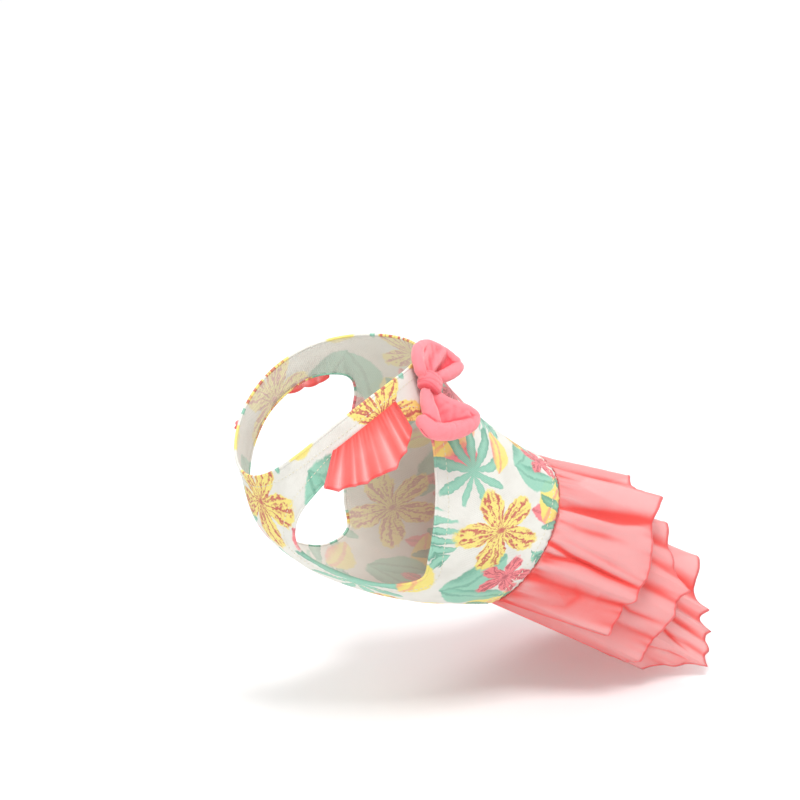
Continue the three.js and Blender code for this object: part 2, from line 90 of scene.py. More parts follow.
# %% A value on its way through a material's nodes
class Flow:
    def __init__(self, tree, socket=None):
        self.tree = tree
        self.socket = socket

    def node(self, kind, settings=None, inputs=None, output=0):
        made = self.tree.nodes.new(kind)
        for key, value in (settings or {}).items():
            setattr(made, key, value)
        for place, value in (inputs or {}).items():
            if isinstance(value, Flow):
                self.tree.links.new(value.socket, made.inputs[place])
            else:
                made.inputs[place].default_value = value
        return Flow(self.tree, made.outputs[output])

    def maths(self, operation, *values):
        return self.node("ShaderNodeMath", {"operation": operation}, dict(enumerate(values)))

    def __add__(self, other):
        return self.maths("ADD", self, other)

    def __radd__(self, other):
        return self.maths("ADD", other, self)

    def __sub__(self, other):
        return self.maths("SUBTRACT", self, other)

    def __rsub__(self, other):
        return self.maths("SUBTRACT", other, self)

    def __mul__(self, other):
        return self.maths("MULTIPLY", self, other)

    def __rmul__(self, other):
        return self.maths("MULTIPLY", other, self)

    def __truediv__(self, other):
        return self.maths("DIVIDE", self, other)

    def __pow__(self, other):
        return self.maths("POWER", self, other)

    def size(self):
        return self.maths("ABSOLUTE", self)

    def sine(self):
        return self.maths("SINE", self)

    def cosine(self):
        return self.maths("COSINE", self)

    def least(self, other):
        return self.maths("MINIMUM", self, other)

    def most(self, other):
        return self.maths("MAXIMUM", self, other)

    def rises(self, low, high):
        return self.node(
            "ShaderNodeMapRange",
            {"interpolation_type": "SMOOTHSTEP"},
            {0: self, 1: low, 2: high, 3: 0.0, 4: 1.0},
        )

    def vector(self, operation, *values):
        values = dict(enumerate((self, *values)))
        return self.node("ShaderNodeVectorMath", {"operation": operation}, values)

    def scaled(self, by):
        return self.node("ShaderNodeVectorMath", {"operation": "SCALE"}, {0: self, "Scale": by})

    def parts(self):
        split = self.node("ShaderNodeSeparateXYZ", None, {0: self})
        outputs = split.socket.node.outputs
        return [Flow(self.tree, outputs[i]) for i in range(3)]

    def noise(self, scale, detail=2.0, roughness=0.5, output=0):
        return self.node(
            "ShaderNodeTexNoise",
            None,
            {"Vector": self, "Scale": scale, "Detail": detail, "Roughness": roughness},
            output,
        )

    def blend(self, first, second):
        return self.node("ShaderNodeMix", {"data_type": "RGBA"}, {0: self, 6: first, 7: second}, 2)


# %% [markdown]
# A cloth material needs its colour, its roughness, a bump for the yarns and a soft sheen. This helper
# starts one. It gives back the flow to build on and a function that joins the results to the shader.


# %% Starting a material
def screen_colour(red, green, blue):
    """A screen colour from 0 to 255 as the linear values that a shader takes."""
    linear = [((c / 255 + 0.055) / 1.055) ** 2.4 for c in (red, green, blue)]
    return (*linear, 1.0)


def new_cloth(name, sheen, sheen_colour, roughness=0.8, through=0.0, through_colour=None):
    material = bpy.data.materials.new(name)
    material.use_nodes = True
    tree = material.node_tree
    tree.nodes.clear()
    flow = Flow(tree)
    finish = tree.nodes.new("ShaderNodeBsdfPrincipled")
    finish.inputs["Roughness"].default_value = roughness
    finish.inputs["Specular IOR Level"].default_value = 0.25
    finish.inputs["Sheen Weight"].default_value = sheen
    finish.inputs["Sheen Roughness"].default_value = 0.45
    finish.inputs["Sheen Tint"].default_value = sheen_colour
    output = tree.nodes.new("ShaderNodeOutputMaterial")
    if through:
        glow = tree.nodes.new("ShaderNodeBsdfTranslucent")
        both = tree.nodes.new("ShaderNodeMixShader")
        both.inputs[0].default_value = through
        tree.links.new(finish.outputs[0], both.inputs[1])
        tree.links.new(glow.outputs[0], both.inputs[2])
        tree.links.new(both.outputs[0], output.inputs[0])
        glow.inputs["Color"].default_value = through_colour
    else:
        tree.links.new(finish.outputs[0], output.inputs[0])

    def join(**results):
        for place, value in results.items():
            tree.links.new(value.socket, finish.inputs[place.replace("_", " ")])
            if through and place == "Normal":
                tree.links.new(value.socket, glow.inputs["Normal"])

    return material, flow, join


# %% [markdown]
# The jersey is printed with palm fronds, leaves and open five-petalled flowers on an off-white ground,
# in loose brush strokes. A print repeats, so each motif is worked out once in coordinates that wrap
# round one repeat. The cloth's own flat coordinates, in metres, are in the UV map, so the motifs
# follow the cloth round the body.

# %% The printed motifs
REPEAT = (67.5 * MM, 66.0 * MM)
GROUND = screen_colour(228, 227, 220)
SHADE = screen_colour(206, 203, 194)
TEAL = screen_colour(136, 200, 176)
DEEP_TEAL = screen_colour(74, 152, 128)
YELLOW = screen_colour(240, 222, 112)
STROKE_RED = screen_colour(192, 70, 56)
CORAL = screen_colour(240, 118, 128)
ROSE = screen_colour(186, 58, 78)

# Each motif: its kind, its start in the repeat in millimetres, how far it is turned in degrees, its
# length, its width (or its number of lobes), and its two inks.
MOTIF_COLUMNS = ("kind", "at", "turn", "long", "wide", "ink", "deep")
MOTIF_ROWS = [
    ("leaf", (48, 22), 108, 32, 7.0, CORAL, ROSE),
    ("leaf", (18, 40), -22, 33, 8.5, YELLOW, CORAL),
    ("frond", (64, 30), 62, 40, 15, TEAL, DEEP_TEAL),
    ("leaf", (29, 10), 156, 30, 8.0, TEAL, DEEP_TEAL),
    ("leaf", (30, 8), 96, 27, 7.0, TEAL, DEEP_TEAL),
    ("palm", (43, 50), 215, 27, 9, TEAL, DEEP_TEAL),
    ("leaf", (36, 0), 200, 22, 6.0, YELLOW, CORAL),
    ("flower", (59, 10), 14, 20, 5, YELLOW, STROKE_RED),
    ("flower", (13, 27), 40, 12, 5, CORAL, ROSE),
]
MOTIFS = [dict(zip(MOTIF_COLUMNS, row)) for row in MOTIF_ROWS]


def motif_place(cloth, motif):
    """Metric coordinates about a motif's start, with x along it, wrapped round the repeat."""
    centre = (motif["at"][0] * MM, motif["at"][1] * MM, 0)
    half = (REPEAT[0] / 2, REPEAT[1] / 2, 1)
    moved = cloth.vector("SUBTRACT", centre)
    wrapped = moved.vector("WRAP", half, tuple(-x for x in half))
    turned = wrapped.node(
        "ShaderNodeVectorRotate",
        {"rotation_type": "Z_AXIS"},
        {"Vector": wrapped, "Angle": -math.radians(motif["turn"])},
    )
    x, y, _ = turned.scaled(1 / MM).parts()
    return x, y


def frond(motif, x, y):
    """A feather-like palm frond: leaflets that sweep back from a midrib."""
    side = y.size()
    root = x - side * 0.75
    share = root / motif["long"]
    reach = (share * (1 - share)).most(0) * (4 * motif["wide"]) + 0.01
    blade = root / 5.2
    blade = blade.maths("FRACT", blade) - 0.5
    narrow = 1 - side / reach
    leaflets = (narrow * 0.5 + 0.08 - blade.size()).rises(-0.06, 0.1) * narrow.rises(0.0, 0.12)
    rib = (0.7 - side).rises(0, 0.3) * (share * (1 - share)).rises(0, 0.02)
    return leaflets.most(rib), blade.size().rises(0.1, 0.4)


def leaf(motif, x, y):
    """A broad leaf with a curved midrib."""
    share = x / motif["long"]
    inside = (share * (1 - share)).most(0) * 4
    bent = y - (share - 0.5) ** 2 * motif["wide"] * 1.6
    half = inside**0.8 * motif["wide"]
    shape = (half - bent.size()).rises(-0.5, 0.8) * inside.rises(0, 0.03)
    vein = (1 - (bent.size() - 0.3).rises(0, 1.1)) * 0.6
    return shape, vein.most((bent / motif["wide"]).rises(0.1, 1.0) * 0.85)


def lobes(motif, x, y, power, waist):
    """The outline of a motif with even lobes round its middle: how far out it reaches there."""
    far = (x * x + y * y) ** 0.5
    turn = y.maths("ARCTAN2", y, x)
    lobe = (turn * (motif["wide"] / 2)).cosine().size() ** power
    return far, turn, (lobe * (1 - waist) + waist) * motif["long"]


def flower(motif, x, y, grain):
    """Five petals, with brush strokes that run out from the middle."""
    far, turn, edge = lobes(motif, x, y, 0.75, 0.3)
    shape = (edge - far + grain * 5 - 2.5).rises(-0.6, 1.0)
    fine = (turn * 44 + grain * 6).sine()
    broad = (turn * 19 + grain * 5 + 1).sine()
    broken = (far * 0.45 + grain * 16 + turn * 3).sine()
    strokes = (fine * 0.6 + broad * 0.8 + broken * 0.7).rises(-0.7, 1.2)
    strokes = strokes * (1.1 - (far / edge) ** 4).rises(0.0, 0.5)
    return shape, strokes.most((2.2 - far).rises(0, 1.6))


def palm(motif, x, y, grain):
    """A fan of pointed leaflets, longest along its stem's line."""
    far, turn, edge = lobes(motif, x, y, 1.7, 0.16)
    edge = edge * (turn.cosine() * 0.22 + 0.78)
    shape = (edge - far + grain * 2 - 1).rises(-0.5, 0.8)
    rib = (turn * (motif["wide"] / 2)).sine().size()
    return shape, (far / motif["long"] + rib * 0.5 - 0.35).rises(0.0, 0.8)


def printed(flow, cloth):
    """The print's colour at the cloth's flat coordinates."""
    drawn = cloth
    for scale, reach in ((120, 3.4), (560, 1.5)):
        wander = cloth.noise(scale, 2, 0.5, 1).vector("SUBTRACT", (0.5, 0.5, 0.5))
        drawn = drawn.vector("ADD", wander.scaled(reach * MM))
    grain = cloth.noise(420, 2, 0.6)
    dry = cloth.noise(900, 3, 0.7)
    wash = cloth.noise(110, 2, 0.5)
    colour = (wash.rises(0.35, 0.75) * 0.4).blend(GROUND, SHADE)
    for motif in MOTIFS:
        x, y = motif_place(drawn, motif)
        if motif["kind"] == "frond":
            shape, deep = frond(motif, x, y)
        elif motif["kind"] == "leaf":
            shape, deep = leaf(motif, x, y)
        elif motif["kind"] == "palm":
            shape, deep = palm(motif, x, y, grain)
        else:
            shape, deep = flower(motif, x, y, grain)
        ink = (deep * (0.5 + dry * 0.8) + wash * 0.5 - 0.25).rises(0.0, 1.0)
        ink = ink.blend(motif["ink"], motif["deep"])
        colour = (shape * (0.8 + dry * 0.25)).blend(colour, ink)
    return colour, dry


print(len(MOTIFS), "motifs in a repeat of", [round(x / MM, 1) for x in REPEAT], "mm")

# %% [markdown]
# The jersey's face shows fine ribs of stitches, well under a millimetre apart. The reverse of a printed
# jersey is paler, because the ink stays mostly on the face, so it gets its own material.


# %% Printed jersey
RIB_APART, ROW_APART = 0.75, 0.6


def jersey(name, fade):
    material, flow, join = new_cloth(name, 0.25, (0.9, 0.9, 0.85, 1), 0.85)
    cloth = flow.node("ShaderNodeUVMap", {"uv_map": "cloth"})
    colour, dry = printed(flow, cloth)
    u, v, _ = cloth.parts()
    rib = (u * (2 * math.pi / (RIB_APART * MM))).sine()
    row = (v * (2 * math.pi / (ROW_APART * MM))).sine()
    yarn = rib * 0.6 + rib * row * 0.4
    worn = (yarn * 0.5 + 0.5) * 0.09 + dry * 0.08
    shaded = worn.blend(colour, (0.55, 0.52, 0.46, 1))
    if fade:
        shaded = shaded.node("ShaderNodeMix", {"data_type": "RGBA"}, {0: fade, 6: shaded, 7: GROUND}, 2)
    bump = yarn.node(
        "ShaderNodeBump", None, {"Strength": 0.5, "Distance": 0.12 * MM, "Height": yarn + dry}
    )
    join(Base_Color=shaded, Roughness=0.78 + dry * 0.15, Normal=bump)
    return material


jersey_face = jersey("printed_jersey_face", 0)
jersey_reverse = jersey("printed_jersey_reverse", 0.55)
print(jersey_face.name, "has", len(jersey_face.node_tree.nodes), "nodes")

# %% [markdown]
# Voile is thin and slightly see-through. Where folds lie deep, a stronger coral is painted in as shade,
# standing in for the layers and the light between them, and the ridges are painted pale as highlights.
# Each piece of voile carries two numbers at every point: how deep it lies in a fold, which sets that
# painted shade, and how far it is from its rolled hem.


# %% Coral voile
YARN_APART = 0.55
# The voile's coral, from a painted highlight on ridges to a painted shade in deep folds.
RIDGE_HIGHLIGHT_PINK, FOLD_SHADE_CORAL = screen_colour(255, 222, 222), screen_colour(252, 92, 84)
ROLLED_HEM, YARN_GLINT = screen_colour(238, 74, 76), screen_colour(255, 205, 200)
LIT_THROUGH = screen_colour(255, 150, 145)


def voile(name):
    material, flow, join = new_cloth(name, 0.3, (1.0, 0.9, 0.9, 1), 0.6, 0.34, LIT_THROUGH)
    cloth = flow.node("ShaderNodeUVMap", {"uv_map": "cloth"})
    deep = flow.node("ShaderNodeAttribute", {"attribute_name": "deep"}, None, 2)
    edge = flow.node("ShaderNodeAttribute", {"attribute_name": "edge"}, None, 2)
    patch = cloth.noise(60, 3, 0.6)
    crepe = cloth.noise(1500, 3, 0.65)
    u, v, _ = cloth.parts()
    across = (u * (2 * math.pi / (YARN_APART * MM))).sine()
    down = (v * (2 * math.pi / (YARN_APART * MM))).sine()
    weave = across * down
    # Painted shade and highlight: fold depth and random patches blend from ridge highlight to fold shade.
    share = (deep * 1.0 + patch * 0.24 - 0.08 + crepe * 0.1).rises(0.0, 1.0)
    colour = share.blend(RIDGE_HIGHLIGHT_PINK, FOLD_SHADE_CORAL)
    hem = 1 - (edge / MM).rises(0.9, 1.7)
    colour = (hem * 0.75).blend(colour, ROLLED_HEM)
    colour = ((weave * 0.5 + 0.5) * 0.1).blend(colour, YARN_GLINT)
    bump = weave.node(
        "ShaderNodeBump",
        None,
        {"Strength": 0.6, "Distance": 0.15 * MM, "Height": weave * 0.35 + crepe * 1.2},
    )
    solid = 0.62 + hem * 0.38 + deep * 0.24
    join(Base_Color=colour, Normal=bump, Alpha=solid.least(1.0))
    return material


coral_voile = voile("coral_voile")
print(coral_voile.name, "has", len(coral_voile.node_tree.nodes), "nodes")

# %% [markdown]
# The bow is brushed fleece over wadding. Its pile hides the knit and catches light at grazing angles.
# Its colour is painted darker down in the creases, as painted shade, and paler on the rolls, as painted
# highlight.


# %% Coral fleece
# The fleece's coral, from a painted highlight on the rolls to a painted shade in the creases.
PILE_HIGHLIGHT_PALE, PILE_CREASE_SHADE = screen_colour(249, 131, 139), screen_colour(222, 54, 68)
PILE_TIP, PILE_SEAM = screen_colour(255, 165, 172), screen_colour(196, 48, 66)


def fleece(name):
    material, flow, join = new_cloth(name, 0.75, (1.0, 0.72, 0.74, 1), 0.92)
    place = flow.node("ShaderNodeTexCoord", None, None, 3)
    deep = flow.node("ShaderNodeAttribute", {"attribute_name": "deep"}, None, 2)
    seam = flow.node("ShaderNodeAttribute", {"attribute_name": "edge"}, None, 2)
    pile = place.noise(2600, 3, 0.7)
    tuft = place.noise(700, 2, 0.5)
    # Painted shade in the creases and painted highlight on the rolls, set by the deep number.
    colour = (deep + tuft * 0.2 - 0.1).rises(0, 1).blend(PILE_HIGHLIGHT_PALE, PILE_CREASE_SHADE)
    colour = (pile * 0.35).blend(colour, PILE_TIP)
    colour = (1 - (seam / MM).rises(0.1, 0.6)).blend(colour, PILE_SEAM)
    bump = pile.node(
        "ShaderNodeBump",
        None,
        {"Strength": 0.7, "Distance": 0.35 * MM, "Height": pile + tuft * 0.6},
    )
    join(Base_Color=colour, Normal=bump)
    return material


coral_fleece = fleece("coral_fleece")
print(coral_fleece.name, "has", len(coral_fleece.node_tree.nodes), "nodes")

# %% [markdown]
# A worn dress keeps the form of the body that it was put on. That form could be sculpted, but the cloth
# has to lie on it to a tenth of a millimetre, so it is a formula: a row of leaning oval sections along
# the line of the back. These are the same named sizes and tables as in the model that the frame was
# packed from, in millimetres.

# %% The form of the body
BACK_LENGTH, NAPE_SLOPE, WAIST_SLOPE = 103, 57, 33
CHEST_DEPTH, CHEST_WIDTH = 107, 85
JERSEY, VOILE, SEAM_GAP = 1.6, 1.0, 0.3
TUCK_POWER = 6

SECTIONS = {
    "along": [0.0, 0.25, 0.5, 0.75, 1.0],
    "depth": [0.94, 1.03, 0.995, 0.89, 0.755],
    "width": [0.84, 0.98, 1.0, 0.98, 0.94],
    "lean": [29, 33.5, 41.8, 49, 52.5],
    "rise": [0.13, 0.05, 0, 0, 0],
    "tuck": [0, 0, 0.03, 0.06, 0.065],
}


def curve(p, share):
    """The smooth curve through four values, at a share of the way from the second to the third."""
    return 0.5 * (
        2 * p[1]
        + (p[2] - p[0]) * share
        + (2 * p[0] - 5 * p[1] + 4 * p[2] - p[3]) * share**2
        + (3 * p[1] - p[0] - 3 * p[2] + p[3]) * share**3
    )


def from_table(table, key, column, at):
    """A smooth value from a table's column at any place between its rows."""
    keys, values = np.array(table[key], float), np.array(table[column], float)
    last = len(keys) - 1
    row = np.searchsorted(keys[1:last], at)
    share = (at - keys[row]) / (keys[row + 1] - keys[row])
    return curve([values[np.clip(row + k, 0, last)] for k in (-1, 0, 1, 2)], share)


def body(along, around):
    """Points of the body. around is in degrees from the back, positive on the wearer's left."""
    along, around = np.broadcast_arrays(np.asarray(along, float), np.asarray(around, float))
    section = lambda column: from_table(SECTIONS, "along", column, along)
    start, ease = math.radians(NAPE_SLOPE), math.radians(WAIST_SLOPE - NAPE_SLOPE)
    slope = start + ease * along
    x = BACK_LENGTH * (np.sin(slope) - math.sin(start)) / ease
    z = BACK_LENGTH * (np.cos(slope) - math.cos(start)) / ease
    depth, width = CHEST_DEPTH * section("depth"), CHEST_WIDTH * section("width")
    lean, turn = np.radians(section("lean")), np.radians(around)
    under = np.maximum(0, -np.cos(turn)) ** TUCK_POWER
    down = depth / 2 * (1 - np.cos(turn)) - CHEST_DEPTH * section("tuck") * under
    lift = CHEST_DEPTH * section("rise") * np.sin(turn) ** 2
    x = x - down * np.cos(lean) - lift * np.sin(lean)
    z = z - down * np.sin(lean) + lift * np.cos(lean)
    return np.stack([x, -width / 2 * np.sin(turn), z], -1)


def unit(vectors):
    return vectors / np.maximum(np.linalg.norm(vectors, axis=-1, keepdims=True), 1e-9)


def body_frame(along, around):
    """Directions at points of the body: to the tail, round it, and outwards."""
    tail = unit(body(along + 0.01, around) - body(along - 0.01, around))
    round_it = unit(body(along, around + 2) - body(along, around - 2))
    return tail, round_it, unit(np.cross(round_it, tail))


chest = body(0.5, np.arange(0, 361, 3))
print("chest, mm round:", round(np.linalg.norm(np.diff(chest, axis=0), axis=1).sum()))

# %% [markdown]
# Every piece of cloth becomes a mesh of its own from arrays of points and faces. Cloth could be pushed
# into shape in edit mode too, but folds that follow a formula are easier to place with numbers. One
# helper makes the mesh, gives it its flat coordinates and its other numbers, and tells the frame what
# it rides on.


# %% Making a piece from arrays
def store(mesh, **numbers):
    """Keeps numbers with the mesh's points, for its material to read."""
    for key, values in numbers.items():
        stored = mesh.attributes.new(key, "FLOAT", "POINT")
        stored.data.foreach_set("value", np.asarray(values, np.float32))


def mesh_piece(name, points, faces, flat, slot, materials, material_index=None, **numbers):
    mesh = bpy.data.meshes.new(name)
    mesh.from_pydata((np.asarray(points) * MM).tolist(), [], [tuple(f) for f in faces])
    for material in materials:
        mesh.materials.append(material)
    corners = np.zeros(len(mesh.loops), dtype=np.int32)
    mesh.loops.foreach_get("vertex_index", corners)
    layer = mesh.uv_layers.new(name="cloth")
    layer.data.foreach_set("uv", (np.asarray(flat)[corners] * MM).astype(np.float32).ravel())
    store(mesh, **numbers)
    if material_index is not None:
        mesh.polygons.foreach_set("material_index", np.asarray(material_index, np.int32))
    mesh.polygons.foreach_set("use_smooth", np.ones(len(mesh.polygons), bool))
    mesh.update()
    piece = bpy.data.objects.new(name, mesh)
    bpy.context.scene.collection.objects.link(piece)
    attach(piece, "root")
    return piece


def face_normals(grid):
    """Normals of a grid of points, from the differences between its neighbours."""
    return unit(np.cross(np.gradient(grid, axis=0), np.gradient(grid, axis=1)))


def wall_faces(columns, rows):
    """The faces of a wall between two equal open grids, with a rim on all four sides."""
    index = np.arange(2 * columns * rows).reshape(2, columns, rows)
    quad = lambda a, b, c, d: np.stack([a.ravel(), b.ravel(), c.ravel(), d.ravel()], -1)
    front, back = index
    return np.concatenate(
        [
            quad(front[:-1, :-1], front[1:, :-1], front[1:, 1:], front[:-1, 1:]),
            quad(back[:-1, :-1], back[:-1, 1:], back[1:, 1:], back[1:, :-1]),
            quad(back[:-1, 0], back[1:, 0], front[1:, 0], front[:-1, 0]),
            quad(front[:-1, -1], front[1:, -1], back[1:, -1], back[:-1, -1]),
            quad(front[0, :-1], front[0, 1:], back[0, 1:], back[0, :-1]),
            quad(back[-1, :-1], back[-1, 1:], front[-1, 1:], front[-1, :-1]),
        ]
    )


# %% [markdown]
# The bodice is one piece of jersey, cut in the flat, and its edges are turned under and stitched. It
# could be a grid on the body with holes cut by a Boolean, but that leaves thin slivers at the holes.
# So its outline is laid out flat, filled with small triangles, and wrapped onto the body, which keeps
# the edges of the two foreleg openings smooth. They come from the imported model's own table.

# %% Edges of the bodice
STRAP_SHARE = 0.115
ARMHOLE = {
    "along": [0.127, 0.115, 0.125, 0.18, 0.3, 0.43, 0.55, 0.61, 0.55, 0.46, 0.36, 0.26, 0.18],
    "around": [74, 92, 116, 143, 157, 150, 138, 122, 107, 89, 73, 61, 60],
}
FLAT_ROUND = 270 / 360  # flat millimetres for a degree round the body
CELL = 1.25


def smooth_loop(values, steps):
    """A closed curve through a table's points, once round."""
    values = np.asarray(values, float)
    place = np.arange(len(values) * steps) / steps
    row = place.astype(int)
    share = place - row
    return curve([np.take(values, row + k, mode="wrap") for k in (-1, 0, 1, 2)], share)


def from_stretch(points, a, b):
    """For each flat point, its share of the way from a to b, and its step from that line."""
    share = np.clip(((points - a) @ (b - a)) / max((b - a) @ (b - a), 1e-9), 0, 1)
    return share, points - a - share[..., None] * (b - a)


def nearest(points, line):
    """How far each flat point lies from a closed line of flat points."""
    best = np.full(len(points), 1e9)
    for a, b in zip(line, np.roll(line, -1, 0)):
        best = np.minimum(best, np.linalg.norm(from_stretch(points, a, b)[1], axis=1))
    return best


def inside(points, line):
    """Which flat points lie inside a closed line."""
    found = np.zeros(len(points), bool)
    for a, b in zip(line, np.roll(line, -1, 0)):
        crosses = (a[1] > points[:, 1]) != (b[1] > points[:, 1])
        at = (b[0] - a[0]) * (points[:, 1] - a[1]) / (b[1] - a[1] + 1e-12) + a[0]
        found ^= crosses & (points[:, 0] < at)
    return found


hole_along = smooth_loop(ARMHOLE["along"], 12)
hole_around = smooth_loop(ARMHOLE["around"], 12)
holes = [
    np.stack([side * hole_around * FLAT_ROUND, hole_along * BACK_LENGTH], -1) for side in (1, -1)
]
columns, rows = round(360 * FLAT_ROUND / CELL), round(BACK_LENGTH / CELL)
grid = np.stack(
    np.meshgrid(
        np.linspace(-180, 180, columns + 1) * FLAT_ROUND,
        np.linspace(0, 1, rows + 1) * BACK_LENGTH,
        indexing="ij",
    ),
    -1,
).reshape(-1, 2)
keep = np.ones(len(grid), bool)
for hole in holes:
    keep &= ~inside(grid, hole) & (nearest(grid, hole) > 0.5 * CELL)
laid = np.concatenate([grid[keep], *holes])
first = keep.sum()
edges = []
for number, hole in enumerate(holes):
    start = first + number * len(hole)
    edges += [(start + k, start + (k + 1) % len(hole)) for k in range(len(hole))]
flat_points, _, flat_faces, *_ = delaunay_2d_cdt([Vector(p) for p in laid], edges, [], 0, 1e-6)
flat_points = np.array([tuple(p) for p in flat_points])
flat_faces = np.array([list(f) for f in flat_faces])
middles = flat_points[flat_faces].mean(1)
flat_faces = flat_faces[~(inside(middles, holes[0]) | inside(middles, holes[1]))]
print("bodice cut:", len(flat_points), "points,", len(flat_faces), "triangles")

# %% [markdown]
# The cloth isn't perfectly tight. Soft drag lines run from the foreleg openings to the waist, the skirt's
# gathers ripple the last centimetre above the seam, and each edge stands a little higher where its hem
# is turned under. A table gives the drag lines by their ends, in shares of the back and degrees.

# %% Wrap the bodice onto the body
DRAG_LINES = [
    {"from": (0.5, 100), "to": (0.96, 128), "wide": 3.4, "high": 0.9},
    {"from": (0.34, 74), "to": (0.78, 96), "wide": 3.0, "high": 0.5},
    {"from": (0.60, 118), "to": (0.98, 150), "wide": 3.2, "high": 0.8},
    {"from": (0.22, 58), "to": (0.55, 30), "wide": 3.6, "high": 0.6},
    {"from": (0.48, 86), "to": (0.95, 70), "wide": 3.8, "high": 0.6},
    {"from": (0.5, -100), "to": (0.95, -122), "wide": 3.4, "high": 0.8},
    {"from": (0.3, -66), "to": (0.8, -50), "wide": 3.6, "high": 0.7},
    {"from": (0.62, -120), "to": (0.97, -146), "wide": 3.0, "high": 0.7},
    {"from": (0.1, 30), "to": (0.34, -18), "wide": 3.2, "high": 0.5},
    {"from": (0.25, 166), "to": (0.55, 178), "wide": 3.0, "high": 0.5},
]
SKIRT_REACH = 144  # degrees from the middle of the back to about where the gathered seam ends


def jersey_height(flat):
    """How far the jersey's face lies above the body, in millimetres, at flat points."""
    around, along = flat[:, 0] / FLAT_ROUND, flat[:, 1] / BACK_LENGTH
    high = np.full(len(flat), float(JERSEY))
    for line in DRAG_LINES:
        a, b = [np.array([p[1] * FLAT_ROUND, p[0] * BACK_LENGTH]) for p in (line["from"], line["to"])]
        run, gap = from_stretch(flat, a, b)
        off = np.linalg.norm(gap, axis=1)
        high += line["high"] * np.exp(-((off / line["wide"]) ** 2)) * np.sin(np.pi * run) ** 0.7
    to_waist = (1 - along) * BACK_LENGTH
    sewn = 1 / (1 + np.exp((np.abs(around) - SKIRT_REACH) / 2))
    ripple = np.sin(around * 1.3 + 2 * np.sin(around * 0.21)) + 0.6 * np.sin(around * 2.1 + 1)
    high += 0.32 * sewn * ripple * np.exp(-to_waist / 6)
    high += 0.5 * sewn * np.exp(-(((to_waist - 4) / 4) ** 2)) - 0.4 * np.exp(-to_waist / 1.2)
    edge = np.minimum(nearest(flat, holes[0]), nearest(flat, holes[1]))
    edge = np.minimum(edge, along * BACK_LENGTH)
    edge = np.minimum(edge, to_waist + 50 * sewn)
    high += 0.3 / (1 + np.exp((edge - 6) / 0.5))
    high -= 0.22 * np.exp(-(((edge - 5) / 0.6) ** 2))
    return high


def on_body(flat, high):
    around, along = flat[:, 0] / FLAT_ROUND, flat[:, 1] / BACK_LENGTH
    _, _, out = body_frame(along, around)
    return body(along, around) + out * np.asarray(high)[:, None]


WALL = 0.9
height = jersey_height(flat_points)
outer = on_body(flat_points, height)
inner = on_body(flat_points, height - WALL)
turned = flat_faces[:, ::-1]
count = len(flat_points)
ends = {}
for face in flat_faces:
    for a, b in zip(face, np.roll(face, -1)):
        ends[(a, b)] = ends.get((a, b), 0) + 1
border = [(a, b) for (a, b) in ends if (b, a) not in ends]
seam_line = 180 * FLAT_ROUND - 1e-3
border = [
    (a, b)
    for a, b in border
    if not (abs(flat_points[a, 0]) > seam_line and abs(flat_points[b, 0]) > seam_line)
]
rim = [(b, a, a + count, b + count) for a, b in border]
faces = [tuple(f) for f in flat_faces] + [tuple(f) for f in turned + count] + rim
slots = [0] * len(flat_faces) + [1] * len(turned) + [0] * len(rim)
bodice = mesh_piece(
    "bodice_cloth",
    np.concatenate([outer, inner]),
    faces,
    np.concatenate([flat_points, flat_points]),
    "printed_jersey",
    [jersey_face, jersey_reverse],
    slots,
)


def close_up(piece, gap=0.02):
    """Merges the points where an edge of the mesh meets another, and faces it outwards."""
    bpy.ops.object.select_all(action="DESELECT")
    piece.select_set(True)
    bpy.context.view_layer.objects.active = piece
    bpy.ops.object.mode_set(mode="EDIT")
    bpy.ops.mesh.select_all(action="SELECT")
    bpy.ops.mesh.remove_doubles(threshold=gap * MM)
    bpy.ops.mesh.normals_make_consistent(inside=False)
    bpy.ops.object.mode_set(mode="OBJECT")
    piece.select_set(False)


close_up(bodice)
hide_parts("bodice")
flat_corners = flat_points[flat_faces]
edge_1, edge_2 = flat_corners[:, 1] - flat_corners[:, 0], flat_corners[:, 2] - flat_corners[:, 0]
cut_area = abs(edge_1[:, 0] * edge_2[:, 1] - edge_1[:, 1] * edge_2[:, 0]).sum() / 2
print("bodice:", len(bodice.data.polygons), "faces")

# %% [markdown]
# Each open edge of the bodice ends in a small round fold, because the cloth is turned under there. A
# bevel couldn't give it, as the fold is thicker than the wall, so a thin tube of the same jersey runs
# along the edge. Its flat coordinates are those of the edge, so the print runs on round it.


# %% Turned edges
FOLD_RADIUS, FOLD_SIDES = 0.72, 10


def rings(line, radius, side, top, sides):
    """Rings of points round a line, in the plane of its directions side and top."""
    turn = 2 * np.pi * np.arange(sides) / sides
    ring = side[:, None] * np.cos(turn)[:, None] + top[:, None] * np.sin(turn)[:, None]
    return (line[:, None] + ring * np.reshape(radius, (-1, 1, 1))).reshape(-1, 3)


def ring_faces(count, sides, closed=False):
    """Faces of a tube of so many rings, with a cap at each end unless it is closed."""
    faces = []
    for k in range(count if closed else count - 1):
        low, high = k * sides, (k + 1) % count * sides
        for s in range(sides):
            after = (s + 1) % sides
            faces.append((low + s, low + after, high + after, high + s))
    if not closed:
        faces.append(tuple(range(sides - 1, -1, -1)))
        faces.append(tuple((count - 1) * sides + s for s in range(sides)))
    return faces


